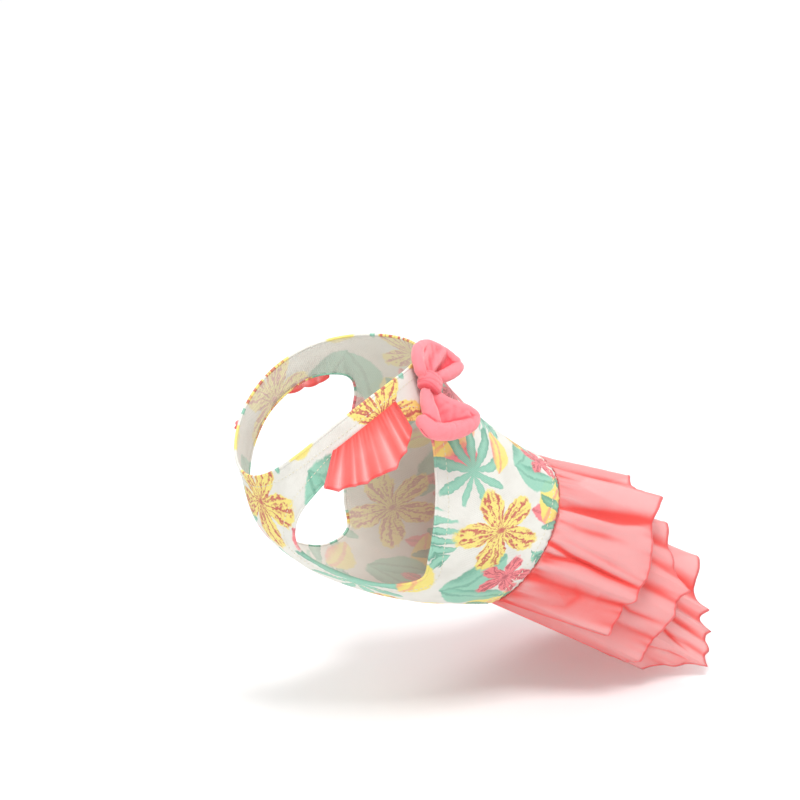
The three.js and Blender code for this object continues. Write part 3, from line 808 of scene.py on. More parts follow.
def edge_fold(name, flat, closed):
    line = on_body(flat, jersey_height(flat) - WALL / 2)
    if closed:
        forward = unit(np.roll(line, -1, 0) - np.roll(line, 1, 0))
    else:
        forward = unit(np.gradient(line, axis=0))
    side = unit(np.cross(forward, [0.3, 0.2, 0.93]))
    points = rings(line, FOLD_RADIUS, side, np.cross(side, forward), FOLD_SIDES)
    faces = ring_faces(len(line), FOLD_SIDES, closed)
    flat = np.repeat(flat, FOLD_SIDES, axis=0)
    piece = mesh_piece(name, points, faces, flat, "printed_jersey", [jersey_face])
    close_up(piece)
    print(name, len(faces), "faces")


def level_line(along, count, start=-180, stop=180):
    """A flat line round the body between two angles."""
    around = np.linspace(start, stop, count) * FLAT_ROUND
    return np.stack([around, np.full(count, float(along))], -1)


edge_fold("neck_edge", level_line(0, 241)[:-1], True)
for hole, word in zip(holes, ("left", "right")):
    edge_fold(f"foreleg_edge_{word}", hole, True)
belly_flat = level_line(BACK_LENGTH, 60, SKIRT_REACH - 1, 361 - SKIRT_REACH)
edge_fold("belly_edge", belly_flat, False)

# %% [markdown]
# The three skirt tiers are strips of voile, gathered at the top and sewn into the waist seam one below
# the other. A cloth simulation could drape them, but it wouldn't find this dress's own folds. So each
# fold is placed one by one, and all of them add up to one height above the body: the big folds, the fine
# gathers that fan out from the seam, and smaller waves at the hem, which is rolled and thicker.

# %% The skirt's tiers
# Each fold: where its crest lies at the seam and at the hem, its half width there, all in degrees, how
# far it stands out at the seam, halfway and at the hem, in millimetres, how sharp it is, how far it
# slips round the body, and how much further it reaches. A fold that stands out less than 0 is a hollow.
# Each billow: its place, its half width and half length, its slant, and how high the cloth swells.
# Each crease: the points of its line, its depth and its width. Tone is how strong the coral lies.
TIERS = [
    {
        "name": "skirt_tier_top",
        "fine": 0.8,
        "length": 52,
        "lies": 0,
        "reach": 132,
        "arch": 0.8,
        "around": [0, 50, 100, 150],
        "pitch": [29, 26, 23, 20],
        "spread": [0, 7, 15, 21],
        "tone": [0.04, 0.16, 0.34, 0.46],
        "fall": [1.0, 1.03, 1.04, 1.0],
        "folds": [
            (-108, -106, 8, 16, 0.2, 2.0, 5.0, 1.3, 0, 3),
            (-66, -64, 8, 16, 0.2, 2.0, 6.5, 1.3, 0, 3),
            (-32, -34, 5, 9, 0.2, 1.0, 3.5, 1.4, 0, 1),
            (-3, -6, 5, 9, 0.3, 3.2, 7.0, 1.1, 0, 4),
            (20, 23, 7, 14, 0.4, 3.6, 9.0, 1.15, 0, 7),
            (60, 58, 6, 9, 1.0, 2.6, 1.2, 2.0, 1.5, 0),
            (68, 76, 5, 8, 0.6, 2.6, 1.8, 1.6, 2.5, 1),
            (92, 98, 5, 6, 0.5, 1.6, 1.4, 1.4, 0, 1),
            (122, 129, 8, 8, 0.3, 1.8, 4.4, 1.2, 0, 3),
            (50, 43, 3, 8, -0.6, -1.5, -1.5, 2.0, 0, 0),
            (104, 105, 3, 4, -0.5, -0.6, -1.4, 1.6, 0, -2),
        ],
        "billows": [
            (27, 30, 7, 22, -0.1, 1.2),
            (43, 32, 5.5, 26, -0.28, -2.2),
            (55, 17, 3.6, 12, -0.15, 1.9),
            (48, 43, 4.5, 10, -0.55, 1.2),
            (61, 22, 3.2, 15, -0.1, -1.4),
            (69, 32, 5, 17, -0.1, 1.5),
            (94, 34, 4, 18, 0.1, 0.9),
            (108, 20, 8, 15, 0, -0.6),
            (6, 30, 5, 22, -0.25, -1.6),
            (-22, 30, 6, 24, 0.1, -1.5),
            (-48, 34, 6, 20, 0, -1.8),
            (-86, 32, 7, 22, 0.1, -1.9),
        ],
        "creases": [
            ([(78, 0), (82, 14), (86, 33), (89, 52)], 2.6, 1.4),
            ([(88, 0), (85, 12), (84, 22)], 1.2, 1.5),
            ([(99, 22), (108, 28), (118, 26), (124, 12)], 0.35, 2.6),
            ([(56, 1), (59, 8), (58, 16)], 0.9, 1.6),
            ([(-50, 1), (-46, 18), (-49, 36)], 1.0, 2.0),
        ],
    },
    {
        "name": "skirt_tier_middle",
        "fine": 0.35,
        "length": 79,
        "lies": 1,
        "reach": 143,
        "arch": 0,
        "around": [0, 50, 100, 150],
        "pitch": [39.5, 37, 32, 30],
        "spread": [0, 3, 7, 10],
        "tone": [0.0, 0.02, 0.14, 0.34],
        "fall": [0.95, 0.98, 1.02, 1.0],
        "folds": [
            (-118, -116, 8, 14, 0, 1.0, 5.0, 1.3, 0, 3),
            (-78, -76, 8, 14, 0, 1.0, 6.0, 1.3, 0, 3),
            (-38, -40, 8, 14, 0, 1.2, 6.0, 1.3, 0, 2),
            (6, 14, 8, 15, 0, 2.8, 11.0, 1.5, 0, 2),
            (36, 40, 6, 9, 0, 0.8, 3.0, 1.8, 0, 0),
            (56, 59, 6, 9, 0, 1.6, 8.0, 1.1, 1.5, 7),
            (80, 82, 6, 12, 0, 1.0, 3.6, 1.6, 0, 1),
            (124, 127, 7, 9, 0, 1.5, 4.0, 1.2, 0, 2),
            (46, 48, 4, 5, 0, -0.6, -1.5, 1.6, 0, 0),
            (108, 108, 4, 5, 0, -0.5, -1.0, 1.6, 0, 0),
        ],
        "billows": [
            (26, 66, 7, 18, 0, -1.4),
            (70, 64, 5, 16, -0.1, -1.2),
            (101, 60, 6, 18, 0, 1.0),
            (-18, 64, 8, 20, 0, -1.6),
            (-98, 62, 8, 20, 0, -1.6),
        ],
        "creases": [
            ([(90, 46), (95, 58), (93, 76)], 0.9, 1.8),
            ([(-58, 48), (-57, 62), (-59, 75)], 0.9, 2.0),
        ],
    },
    {
        "name": "skirt_tier_bottom",
        "fine": 0.35,
        "length": 106,
        "lies": 2,
        "reach": 145,
        "arch": 0,
        "around": [0, 50, 100, 150],
        "pitch": [43, 43, 35, 31],
        "spread": [0, 0, 2, 4],
        "tone": [0.0, 0.0, 0.04, 0.26],
        "fall": [0.97, 0.98, 1.0, 0.72],
        "folds": [
            (-118, -118, 8, 13, 0, 1.0, 5.0, 1.3, 0, 3),
            (-74, -74, 8, 14, 0, 1.0, 6.5, 1.3, 0, 3),
            (-30, -34, 8, 13, 0, 1.0, 6.0, 1.3, 0, 2),
            (6, 16, 9, 20, 0, 3.0, 15.5, 1.6, 0, 2),
            (46, 47, 5, 6, 0, 1.0, 9.0, 1.1, 1.5, 5),
            (62, 63, 5, 7, 0, 1.0, 8.0, 1.1, 0, 6),
            (80, 80, 8, 12, 0, 1.0, 4.5, 1.8, 0, 6),
            (97, 97, 6, 8, 0, 1.0, 6.0, 1.1, 0, 9),
            (114, 114, 8, 10, 0, 0, 1.0, 1.6, 0, 5),
            (128, 131, 6, 9, 0, 1.0, 4.0, 1.2, 0, 5),
            (32, 32, 4, 6, 0, -0.5, -1.0, 1.6, 0, 0),
        ],
        "billows": [
            (32, 92, 6, 18, 0, -1.2),
            (71, 90, 4, 16, 0, -1.3),
            (88, 94, 4, 14, 0, -1.2),
            (106, 90, 5, 14, 0.2, 0.9),
            (-52, 90, 9, 20, 0, -1.6),
        ],
        "creases": [
            ([(84, 78), (92, 90), (97, 103)], 0.8, 1.6),
            ([(112, 80), (104, 92), (101, 103)], 0.8, 1.6),
        ],
    },
]
SHEER = 0.4  # thickness of the voile as it is seen
HEM_ROLL = 1.1
# The small pleats are drawn at random between these limits: how far apart they are and their half
# width, in degrees, and how high they stand and how far they run, in millimetres.
PLEATS = {"apart": (2.6, 6.5), "wide": (0.9, 2.2), "high": (0.4, 1.1), "long": (4, 13)}
PLEAT_SEED, FLUTTER_SEED, FRILL_SEED = 11, 71, 51


def gathers(u_mm, seed, finest, count=9):
    """An irregular ripple along a seam, from -1 to 1."""
    made = np.random.default_rng(seed)
    ripple = np.zeros_like(u_mm)
    for _ in range(count):
        wave = made.uniform(finest, finest * 3.2)
        ripple += made.uniform(0.4, 1) * np.sin(2 * np.pi * u_mm / wave + made.uniform(0, 6.3))
    return ripple / np.abs(ripple).max()


def ruffle(tier, around, v):
    """How far the big folds stand out, slip round the body and reach further, in millimetres."""
    high = np.zeros(np.broadcast(around, v).shape)
    slip, longer = high.copy(), high.copy()
    for seam, hem, narrow, wide, start, half, full, sharp, slide, more in tier["folds"]:
        off = np.abs(around - seam - (hem - seam) * v) / (narrow + (wide - narrow) * v)
        profile = np.exp(-(off**sharp))
        bend = 2 * (start + full - 2 * half)
        high += (start + (4 * half - 3 * start - full) * v + bend * v**2) * profile
        slip += slide * v**0.7 * profile
        longer += more * v**3 * profile
    return high, slip, longer


def pleats(around, run, reach, seed, apart, wide, high, long, both_ways=0.35):
    """Small folds of uneven size that start at the seam and fade along the cloth."""
    made = np.random.default_rng(seed)
    total = np.zeros(np.broadcast(around, run).shape)
    at = -reach
    while at < reach:
        half, tall, fade = made.uniform(*wide), made.uniform(*high), made.uniform(*long)
        way = -1 if made.random() < both_ways else 1
        middle = at + made.uniform(-0.1, 0.1) * run
        off = (around - middle) / (half * (1 + 0.5 * run / fade))
        total += way * tall * np.exp(-(off**2) - (run / fade) ** 1.4)
        at += made.uniform(*apart)
    return total * (0.35 + 0.65 * np.minimum(1, run / 2.5))


def billows(around, run, rows):
    """Broad soft swellings of the cloth, and hollows where the height is less than 0."""
    total = np.zeros(np.broadcast(around, run).shape)
    for place, along, half, long, slant, high in rows:
        off = (around - place - slant * (run - along)) / half
        total += high * np.exp(-(off**2) - ((run - along) / long) ** 2)
    return total


def crease(around, run, line, deep, wide):
    """A sharp dent along a line, with the cloth it pushes up on the line's back side."""
    place = np.stack(np.broadcast_arrays(around * FLAT_ROUND, run), -1).astype(float)
    corners = np.array(line, float) * (FLAT_ROUND, 1)
    nearest_off = np.full(place.shape[:2], 1e9)
    side = np.zeros(place.shape[:2])
    fade = np.ones(place.shape[:2])
    total = len(corners) - 1
    for k in range(total):
        a, b = corners[k], corners[k + 1]
        share, gap = from_stretch(place, a, b)
        off = np.linalg.norm(gap, axis=-1)
        closer = off < nearest_off
        nearest_off = np.where(closer, off, nearest_off)
        side = np.where(closer, gap[..., 0], side)
        fade = np.where(closer, np.sin(np.pi * (0.12 + 0.8 * (k + share) / total)), fade)
    dent = -np.exp(-((nearest_off / wide) ** 1.3))
    bank = 0.45 * np.exp(-(((side + 2.2 * wide) / (1.6 * wide)) ** 2)) * (nearest_off < 9)
    return deep * fade * (dent + bank)


def softened(grid, spread):
    """A grid of values, blurred over so many of its steps."""
    reach = 3 * spread
    kernel = np.exp(-((np.arange(-reach, reach + 1) / spread) ** 2) / 2)
    kernel /= kernel.sum()
    for axis in (0, 1):
        room = [(reach, reach) if axis == k else (0, 0) for k in (0, 1)]
        padded = np.pad(grid, room, "reflect", reflect_type="odd")
        grid = np.apply_along_axis(np.convolve, axis, padded, kernel, "valid")
    return grid


def hemmed_wall(name, face, hem_off, flat, deep, hem=HEM_ROLL):
    """A thin wall of voile whose free edges swell into a rolled hem."""
    normal = face_normals(face)
    roll = (hem - SHEER) * np.exp(-(((hem_off - hem * 0.55) / (hem * 0.5)) ** 2))
    half = ((SHEER + roll) / 2)[..., None]
    middle = face - normal * SHEER / 2
    points = np.concatenate(
        [(middle + normal * half).reshape(-1, 3), (middle - normal * half).reshape(-1, 3)]
    )
    both = lambda values: np.concatenate([values, values])
    piece = mesh_piece(
        name,
        points,
        wall_faces(*face.shape[:2]),
        both(flat.reshape(-1, 2)),
        "coral_voile",
        [coral_voile],
        deep=both(deep.ravel()),
        edge=both(hem_off.ravel() * MM),
    )
    close_up(piece, 0.001)
    return piece


def tier_cloth(tier, columns=460, rows=66):
    u = np.linspace(0, 1, columns + 1)[:, None]
    v = (np.linspace(0, 1, rows + 1) ** 0.92)[None, :]
    around = (2 * u - 1) * tier["reach"]
    side = np.abs(around)
    hang = lambda column: from_table(tier, "around", column, side)
    pitch, spread = np.radians(hang("pitch")), np.radians(hang("spread")) * np.sign(around)
    way = np.concatenate(
        [np.cos(pitch) * np.cos(spread), -np.sin(spread), -np.sin(pitch) * np.cos(spread)], -1
    )[:, None]
    run = v * tier["length"]
    fold, slip, longer = ruffle(tier, around, v)
    small = tier["fine"] * pleats(around, run, tier["reach"], PLEAT_SEED + tier["lies"], **PLEATS)
    small += billows(around, run, tier["billows"])
    for line, deep, wide in tier["creases"]:
        small += crease(around, run, line, deep, wide)
    flutter = gathers(around[:, 0] * 0.9, FLUTTER_SEED + tier["lies"], 5.0)[:, None]
    small += 0.5 * flutter * np.exp(-(tier["length"] - run) / 6)
    arch = tier["arch"] * 4 * v * (1 - v)
    stack = JERSEY - tier["lies"] * (VOILE + SEAM_GAP)
    tail, round_it, out = body_frame(0.99, around[:, 0])
    face = (
        body(1, around[:, 0])[:, None]
        + tail[:, None] * SEAM_GAP
        + way * (tier["length"] * hang("fall") * v + longer)[..., None]
        + out[:, None] * (stack + fold + arch + small)[..., None]
        + round_it[:, None] * slip[..., None]
    )
    length_mm = tier["length"] * hang("fall")
    strip = np.linalg.norm(np.diff(face[:, -1], axis=0), axis=1).sum()
    hem_off = np.minimum((1 - v) * length_mm, np.minimum(u, 1 - u) * strip * 0.9)
    high = fold + small
    # Painted shade: more coral down in folds and near the gathered seam; ridges paler, as painted
    # highlight. The tone adds coral by place round the body.
    deep = (softened(high, 14) - high) * 0.3 + (softened(high, 3) - high) * 0.7
    deep = np.clip(hang("tone") + deep + 0.25 * np.exp(-run / 7), 0, 1)
    flat = np.stack(np.broadcast_arrays(u * strip, v * length_mm), -1)
    piece = hemmed_wall(tier["name"] + "_cloth", face, hem_off, flat, deep)
    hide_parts(tier["name"])
    tier["length"] * MM
    return piece


for tier in TIERS:
    cloth = tier_cloth(tier)
    print(cloth.name, len(cloth.data.polygons), "faces")

# %% [markdown]
# The shoulder frills are short strips of the same voile. They are gathered above the foreleg openings
# and hang in flutes, which fan out at both ends. They are made in the same way as the tiers, from a
# row of flutes along a line on the shoulder. The end by the bow lies flat and stops just short of it.

# %% Shoulder frills
FRILL_WIDTH, FRILL_HEM = 24, 1.6
# Each flute: its place along the frill, its half width there, and how far it stands out at the hem.
FRILL_FOLDS = [
    (0.0, 0.07, 6.0),
    (0.1, 0.035, 2.2),
    (0.21, 0.05, 5.4),
    (0.38, 0.085, 7.2),
    (0.48, 0.03, 1.2),
    (0.61, 0.055, 5.4),
    (0.7, 0.03, 2.4),
    (0.86, 0.085, 7.2),
    (0.99, 0.035, 3.0),
]
FRILL_FLARE, FRILL_SPLAY = math.radians(20), math.radians(22)
FRILL_FROM, FRILL_TO = 68, 110
FRILL_ROOT = STRAP_SHARE - 0.05
FRILL_ENDS, FRILL_REAR, FRILL_EASE = 0.68, 0.1, 0.35
EASED_IN = 1.12  # how much longer the hem is in its folds than laid flat


def frill_cloth(name, side, columns=220, rows=34):
    u = np.linspace(0, 1, columns + 1)
    v = np.linspace(0, 1, rows + 1)[None, :]
    around = side * (FRILL_FROM + (FRILL_TO - FRILL_FROM) * u)
    _, _, out = body_frame(FRILL_ROOT, around)
    plumb = np.array([0, 0, -1.0])
    down = unit(plumb - out * (out @ plumb)[:, None])
    turn = (FRILL_SPLAY * side * (1 - 2 * u))[:, None]
    down = down * np.cos(turn) + np.cross(out, down) * np.sin(turn)
    taper = (FRILL_ENDS + (1 - FRILL_ENDS) * np.sin(np.pi * u) ** 0.7)[:, None]
    reach = FRILL_WIDTH * taper * v
    wave = np.zeros((len(u), 1))
    for at, wide, high in FRILL_FOLDS:
        wave = wave + high * np.exp(-((np.abs(u[:, None] - at) / wide) ** 1.15))
    flute = wave * v
    stand = np.minimum(1, FRILL_REAR + (1 - FRILL_REAR) * u / FRILL_EASE)[:, None]
    fine = gathers(u * 48, FRILL_SEED + side, 2.2)[:, None]
    fan = 0.45 * fine * np.exp(-reach / 7) * np.minimum(1, reach / 1.5)
    flare = (reach * math.sin(FRILL_FLARE) + flute) * stand + fan
    face = (
        body(FRILL_ROOT, around)[:, None]
        + down[:, None] * (reach * math.cos(FRILL_FLARE))[..., None]
        + out[:, None] * (JERSEY + SEAM_GAP + VOILE + flare)[..., None]
    )
    hem_off = np.minimum((1 - v) * FRILL_WIDTH * taper, (np.minimum(u, 1 - u) * 75)[:, None])
    high = flute + fan
    # Painted shade: deeper coral over the whole frill, most in its hollows and by its gathered line; the
    # crests come out paler, as painted highlight.
    deep = (softened(high, 10) - high) * 0.28 + (softened(high, 3) - high) * 0.4
    deep = np.clip(0.46 + deep + 0.35 * np.exp(-reach / 6), 0.12, 1)
    strip = np.linalg.norm(np.diff(face[:, -1], axis=0), axis=1).sum() / EASED_IN
    flat = np.stack(np.broadcast_arrays(u[:, None] * strip, reach), -1)
    piece = hemmed_wall(name + "_cloth", face, hem_off, flat, deep, FRILL_HEM)
    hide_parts(name)
    return piece


for word, side in (("left", 1), ("right", -1)):
    cloth = frill_cloth(f"shoulder_frill_{word}", side)
    print(cloth.name, len(cloth.data.polygons), "faces")

# %% [markdown]
# The bow is a stuffed band of fleece, pulled together by a narrow band at its knot. Its place and its
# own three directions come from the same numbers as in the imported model.

# %% The bow's frame
BOW_AROUND, BOW_ALONG, BOW_TURN = 45, 0.095, 25
KNOT_LENGTH, KNOT_WIDTH, KNOT_HEIGHT = 8, 10.5, 7.5

_, bow_round, bow_out = [d[0] for d in body_frame(np.array([BOW_ALONG]), np.array([BOW_AROUND]))]
quarter = np.cross(bow_out, bow_round)
bow_turn = math.radians(BOW_TURN)
bow_round = unit(bow_round * math.cos(bow_turn) + quarter * math.sin(bow_turn))
bow_tail = unit(np.cross(bow_out, bow_round))
bow_middle = body(BOW_ALONG, BOW_AROUND) + bow_out * (JERSEY + SEAM_GAP + KNOT_HEIGHT / 2)
bow_frame = np.stack([bow_round, bow_tail, bow_out])

# %% [markdown]
# A stuffed loop of soft fleece shows fat rolls with sharp creases between them, and a hollow where the
# band is pinched. Such a form is built as a sculptor would: padded rolls along curved lines, and a
# slack web across the hollow. A voxel remesh then joins them into one skin, and a little smoothing
# rounds the creases.

# %% The padded rolls of each loop
# Each row: a place in the bow's own directions (along the bow, towards the tail, outwards) and the
# roll's radius there, in millimetres. A loop's rises say how far its web stands out, in rows from the
# knot. Rests is a spot on the dress where the loop would sink in, and how far it is lifted there.
LOWER_LEG = [(6, -1.2, 0.5, 2.6), (11, 0.5, 1.5, 3.6), (15.7, 2.7, 2.5, 4.0), (18.4, 6, 2.5, 3.6)]
LOWER_END = [
    (22.0, 1.1, 1.0, 3.6),
    (23.8, 5.8, 3.0, 4.3),
    (21.1, 12.3, 5.0, 4.4),
    (15.7, 18.9, 7.0, 4.3),
    (9.8, 23.8, 9.0, 4.0),
]
LOWER_FAR_LEG = [
    (5.1, 25.0, 9.5, 3.5),
    (4.1, 21.5, 9.0, 3.2),
    (4.6, 16.7, 7.5, 3.0),
    (4.8, 11.1, 5.0, 2.6),
    (3.9, 6.2, 2.5, 2.4),
    (2.1, 3.2, 0.5, 2.2),
]
UPPER_LEG = [
    (-0.6, -4.6, 0.5, 2.4),
    (-2.5, -9.8, 1.5, 2.9),
    (-6.4, -12.6, 1.5, 3),
    (-11.9, -12.6, 0.5, 2.8),
]
UPPER_END = [(-18.5, -7.7, 0, 2.3), (-21.7, -0.3, 0.5, 2), (-22.4, 6.1, 1.5, 2), (-21, 11.6, 3, 2.4)]
UPPER_FLAP = [(-18.6, 13.2, 3.5, 3), (-13.9, 10.6, 3.2, 3.3), (-8.4, 6.2, 2.5, 3.2), (-3.9, 1.7, 1, 2.6)]
BOW_LOOPS = [
    {
        "name": "bow_loop_lower",
        "rolls": [LOWER_LEG, LOWER_END + LOWER_FAR_LEG],
        "web": (LOWER_LEG, LOWER_FAR_LEG[::-1], LOWER_END),
        "rises": [
            (1.5, 0.3, 0.4, 1.2, 1.8),
            (0.5, -2.2, -1.2, 1.4, 2.5),
            (0.0, -3.6, -2.8, 0.8, 3.0),
            (-1.0, -3.0, -2.8, -0.2, 3.0),
        ],
        "rests": ((-12.7, -37.8, -24.8), 1.9),
    },
    {
        "name": "bow_loop_upper",
        "rolls": [UPPER_LEG + UPPER_END, UPPER_FLAP],
        "web": (UPPER_LEG, UPPER_FLAP[::-1], UPPER_END),
        "rises": [
            (1.5, 0.4, 0.6, 0.0, 0.5),
            (2.2, 0.2, 1.2, -1.6, -0.5),
            (2.4, 0.8, 1.8, -2.2, -0.8),
            (2.2, 1.9, 2.0, 0.4, 0.5),
        ],
        "rests": ((0, 0, 0), 0),
    },
]
END_RINGS = 5


def smooth_line(rows, count):
    """A curve through the rows of a table, from the first to the last."""
    rows = np.array(rows, float)
    rows = np.concatenate([2 * rows[:1] - rows[1:2], rows, 2 * rows[-1:] - rows[-2:-1]])
    place = np.linspace(0, len(rows) - 3 - 1e-9, count)
    first = place.astype(int)
    share = (place - first)[:, None]
    return curve([rows[first + k] for k in range(4)], share)


def round_end(row, forward, out):
    """Rows that close a roll with half a ball, from its last full ring outwards."""
    middle, radius = row[:3], row[3]
    return [
        (*(middle + forward * out * radius * k), radius * (1 - k * k) ** 0.5)
        for k in np.sin(np.linspace(0.2, 1.4, END_RINGS))
    ]


def padded_roll(rows, count=40, sides=20):
    """Points and faces of a round roll with rounded ends."""
    line = smooth_line(rows, count)
    forward = unit(np.gradient(line[:, :3], axis=0))
    start, stop = round_end(line[0], forward[0], -1)[::-1], round_end(line[-1], forward[-1], 1)
    line = np.concatenate([start, line, stop])
    forward = np.concatenate([[forward[0]] * END_RINGS, forward, [forward[-1]] * END_RINGS])
    side = unit(np.cross(forward, [0.05, 0.1, 1.0]))
    points = rings(line[:, :3], line[:, 3], side, np.cross(side, forward), sides)
    return points, ring_faces(len(line), sides)


def slack_web(left, right, end, rises, steps=30):
    """A padded web between the rolls, as one closed form."""
    along = np.linspace(0, 1, steps)[:, None, None]
    across = np.linspace(0, 1, steps)[None, :, None]
    left, right = smooth_line(left, steps)[:, None, :3], smooth_line(right, steps)[:, None, :3]
    end = smooth_line(end, steps)[None, :, :3]
    flat = left * (1 - across) + right * across
    flat = flat + along**2.5 * (end - left[-1:] * (1 - across) - right[-1:] * across)
    high = smooth_line(smooth_line(rises, steps).T, steps).T[..., None]
    down = np.array([0, 0, 1.0])
    thick = 1.8 + 4.0 * np.sin(np.pi * across) * np.sin(np.pi * np.clip(along, 0.08, 0.92))
    upper, lower = flat + down * high, flat + down * (np.minimum(0.4 * high, high) - thick)
    points = np.concatenate([upper.reshape(-1, 3), lower.reshape(-1, 3)])
    return points, wall_faces(steps, steps).tolist()


# %% [markdown]
# After the remesh, each point's depth in a crease is found by comparing the skin with a smoother copy
# of itself. That number paints shade into the creases and a paler highlight onto the rolls. The seam that
# closed the band runs round the end roll, so points near that line are pulled in.


# %% Bow loops
VOXEL = 0.42
END_STEPS = 80  # places along the end roll that the seam is measured from
SEAM_DEPTH, SEAM_WIDTH = 0.45, 0.45
LIFT_SPREAD = 7  # millimetres over which the lift at the rest fades


def apply_all(piece):
    bpy.context.view_layer.objects.active = piece
    for modifier in list(piece.modifiers):
        bpy.ops.object.modifier_apply(modifier=modifier.name)


def skin_points(mesh):
    points = np.zeros(len(mesh.vertices) * 3)
    mesh.vertices.foreach_get("co", points)
    return points.reshape(-1, 3) / MM


def skin_normals(mesh):
    normals = np.zeros(len(mesh.vertices) * 3)
    mesh.vertex_normals.foreach_get("vector", normals)
    return normals.reshape(-1, 3)


def relaxed(mesh, points, turns):
    """The points after so many rounds of moving each one to the middle of its neighbours."""
    ends = np.zeros(len(mesh.edges) * 2, dtype=np.int32)
    mesh.edges.foreach_get("vertices", ends)
    a, b = ends.reshape(-1, 2).T
    share = np.bincount(np.concatenate([a, b]), minlength=len(points))[:, None]
    for _ in range(turns):
        total = np.stack(
            [
                np.bincount(a, points[b, k], len(points)) + np.bincount(b, points[a, k], len(points))
                for k in range(3)
            ],
            -1,
        )
        points = 0.3 * points + 0.7 * total / share
    return points


def one_skin(name, parts, smoothing):
    """Joins closed forms, given in the bow's frame, into one smooth skin."""
    points, faces, first = [], [], 0
    for part_points, part_faces in parts:
        points.append(bow_middle + part_points @ bow_frame)
        faces += [tuple(i + first for i in face) for face in part_faces]
        first += len(part_points)
    flat = np.zeros((first, 2))
    piece = mesh_piece(name, np.concatenate(points), faces, flat, "coral_fleece", [coral_fleece])
    close_up(piece, 0.001)
    skin = piece.modifiers.new("skin", "REMESH")
    skin.mode = "VOXEL"
    skin.voxel_size = VOXEL * MM
    soft = piece.modifiers.new("soft", "SMOOTH")
    soft.factor, soft.iterations = 0.5, smoothing
    apply_all(piece)
    return piece


def loop_cloth(loop):
    parts = [padded_roll(rows) for rows in loop["rolls"]]
    parts.append(slack_web(*loop["web"], loop["rises"]))
    piece = one_skin(loop["name"] + "_cloth", parts, 5)
    mesh = piece.data
    points, normals = skin_points(mesh), skin_normals(mesh)
    local = (points - bow_middle) @ bow_frame.T
    from_knot = np.hypot(local[:, 0], local[:, 1]) - KNOT_LENGTH / 2
    turn = np.arctan2(local[:, 1], np.abs(local[:, 0]) + 2)
    pull = 0.4 * np.sin(turn * 17 + 2 * np.sin(turn * 5)) * np.exp(-np.maximum(from_knot, 0) / 5)
    lumps = np.sin(local[:, 0] * 0.9 + 1.3 * np.sin(local[:, 1] * 0.7)) * np.sin(local[:, 1] * 0.8)
    end = smooth_line(loop["web"][2], END_STEPS)[:, :3]
    off = local[:, None] - end[None]
    close = np.linalg.norm(off, axis=2).argmin(1)
    off = off[np.arange(len(local)), close]
    outer = (off[:, :2] * (end[close, :2] - [0, 4])).sum(1) > 0
    from_ends = np.minimum(close, END_STEPS - 1 - close)
    seam = np.abs(off[:, 2] + 0.9) + 9.0 * (~outer) + 0.4 * np.clip(6 - from_ends, 0, 6)
    groove = SEAM_DEPTH * np.exp(-((seam / SEAM_WIDTH) ** 2))
    moved = points + normals * (pull + 0.12 * lumps - groove)[:, None]
    spot, lift = loop["rests"]
    near = np.exp(-((np.linalg.norm(points - spot, axis=1) / LIFT_SPREAD) ** 2))
    moved += bow_out * (lift * near)[:, None]
    mesh.vertices.foreach_set("co", (moved * MM).ravel())
    mesh.update()
    # Depth below a smoother copy of the skin: painted shade in creases, painted highlight on rolls.
    below = ((relaxed(mesh, moved, 30) - moved) * skin_normals(mesh)).sum(1)
    fine = ((relaxed(mesh, moved, 6) - moved) * skin_normals(mesh)).sum(1)
    store(mesh, deep=np.clip(0.34 + below * 1.35 + fine * 3, 0, 1), edge=seam * MM + 0.0002)
    mesh.polygons.foreach_set("use_smooth", np.ones(len(mesh.polygons), bool))
    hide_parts(loop["name"])
    return piece


for loop in BOW_LOOPS:
    cloth = loop_cloth(loop)
    print(cloth.name, len(cloth.data.polygons), "faces")


# %% [markdown]
# The knot is a short band of the same fleece, wrapped tightly round the middle. It could be remeshed
# like the loops, but one grid, closed round the band, keeps its creases running along the wrap.


# %% The knot
# Each crease round the band: its place along it, how far it wanders, its depth and its width.
KNOT_CREASES = [(-0.5, 0.14, 0.03, 0.1), (0.3, -0.2, 0.035, 0.12), (0.66, 0.1, 0.05, 0.08)]


def squared(values):
    """Makes a round section a little squarer."""
    return np.sign(values) * np.abs(values) ** 0.72


def knot_cloth(rows=60, sides=96):
    share = np.linspace(-1, 1, rows)[:, None]
    angle = (2 * np.pi * np.arange(sides) / sides)[None, :]
    across, up = squared(np.cos(angle)), squared(np.sin(angle))
    full = (1 - np.abs(share) ** 3.2) ** 0.5 * 0.42 + 0.66
    wrinkle = 0 * share * angle
    for at, bends, deep, wide in KNOT_CREASES:
        line = at + bends * np.sin(angle + 0.6)
        wrinkle = wrinkle - deep * np.exp(-(((share - line) / wide) ** 2))
    size = full + wrinkle * (1 - share**4)
    centre = bow_middle + bow_round * (share * KNOT_LENGTH * 0.58) + bow_out * 0.9
    points = (
        centre[:, None]
        + bow_tail * (KNOT_WIDTH * 0.56 * size * across)[..., None]
        + bow_out * (KNOT_HEIGHT * 0.6 * size * np.maximum(up, -0.8))[..., None]
    )
    flat = np.stack(np.broadcast_arrays(share * KNOT_LENGTH, angle * 5), -1)
    # Painted shade: darker at both ends, where the band goes under the loops, and in its creases.
    deep = np.clip(0.7 * np.abs(share) ** 5 + 0.3 - wrinkle * 6, 0, 1)
    piece = mesh_piece(
        "bow_knot_cloth",
        points.reshape(-1, 3),
        ring_faces(rows, sides),
        flat.reshape(-1, 2),
        "coral_fleece",
        [coral_fleece],
        deep=deep.ravel(),
        edge=np.full(deep.size, 0.01),
    )
    close_up(piece, 0.001)
    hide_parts("bow_knot")
    return piece


cloth = knot_cloth()
print(cloth.name, len(cloth.data.polygons), "faces")

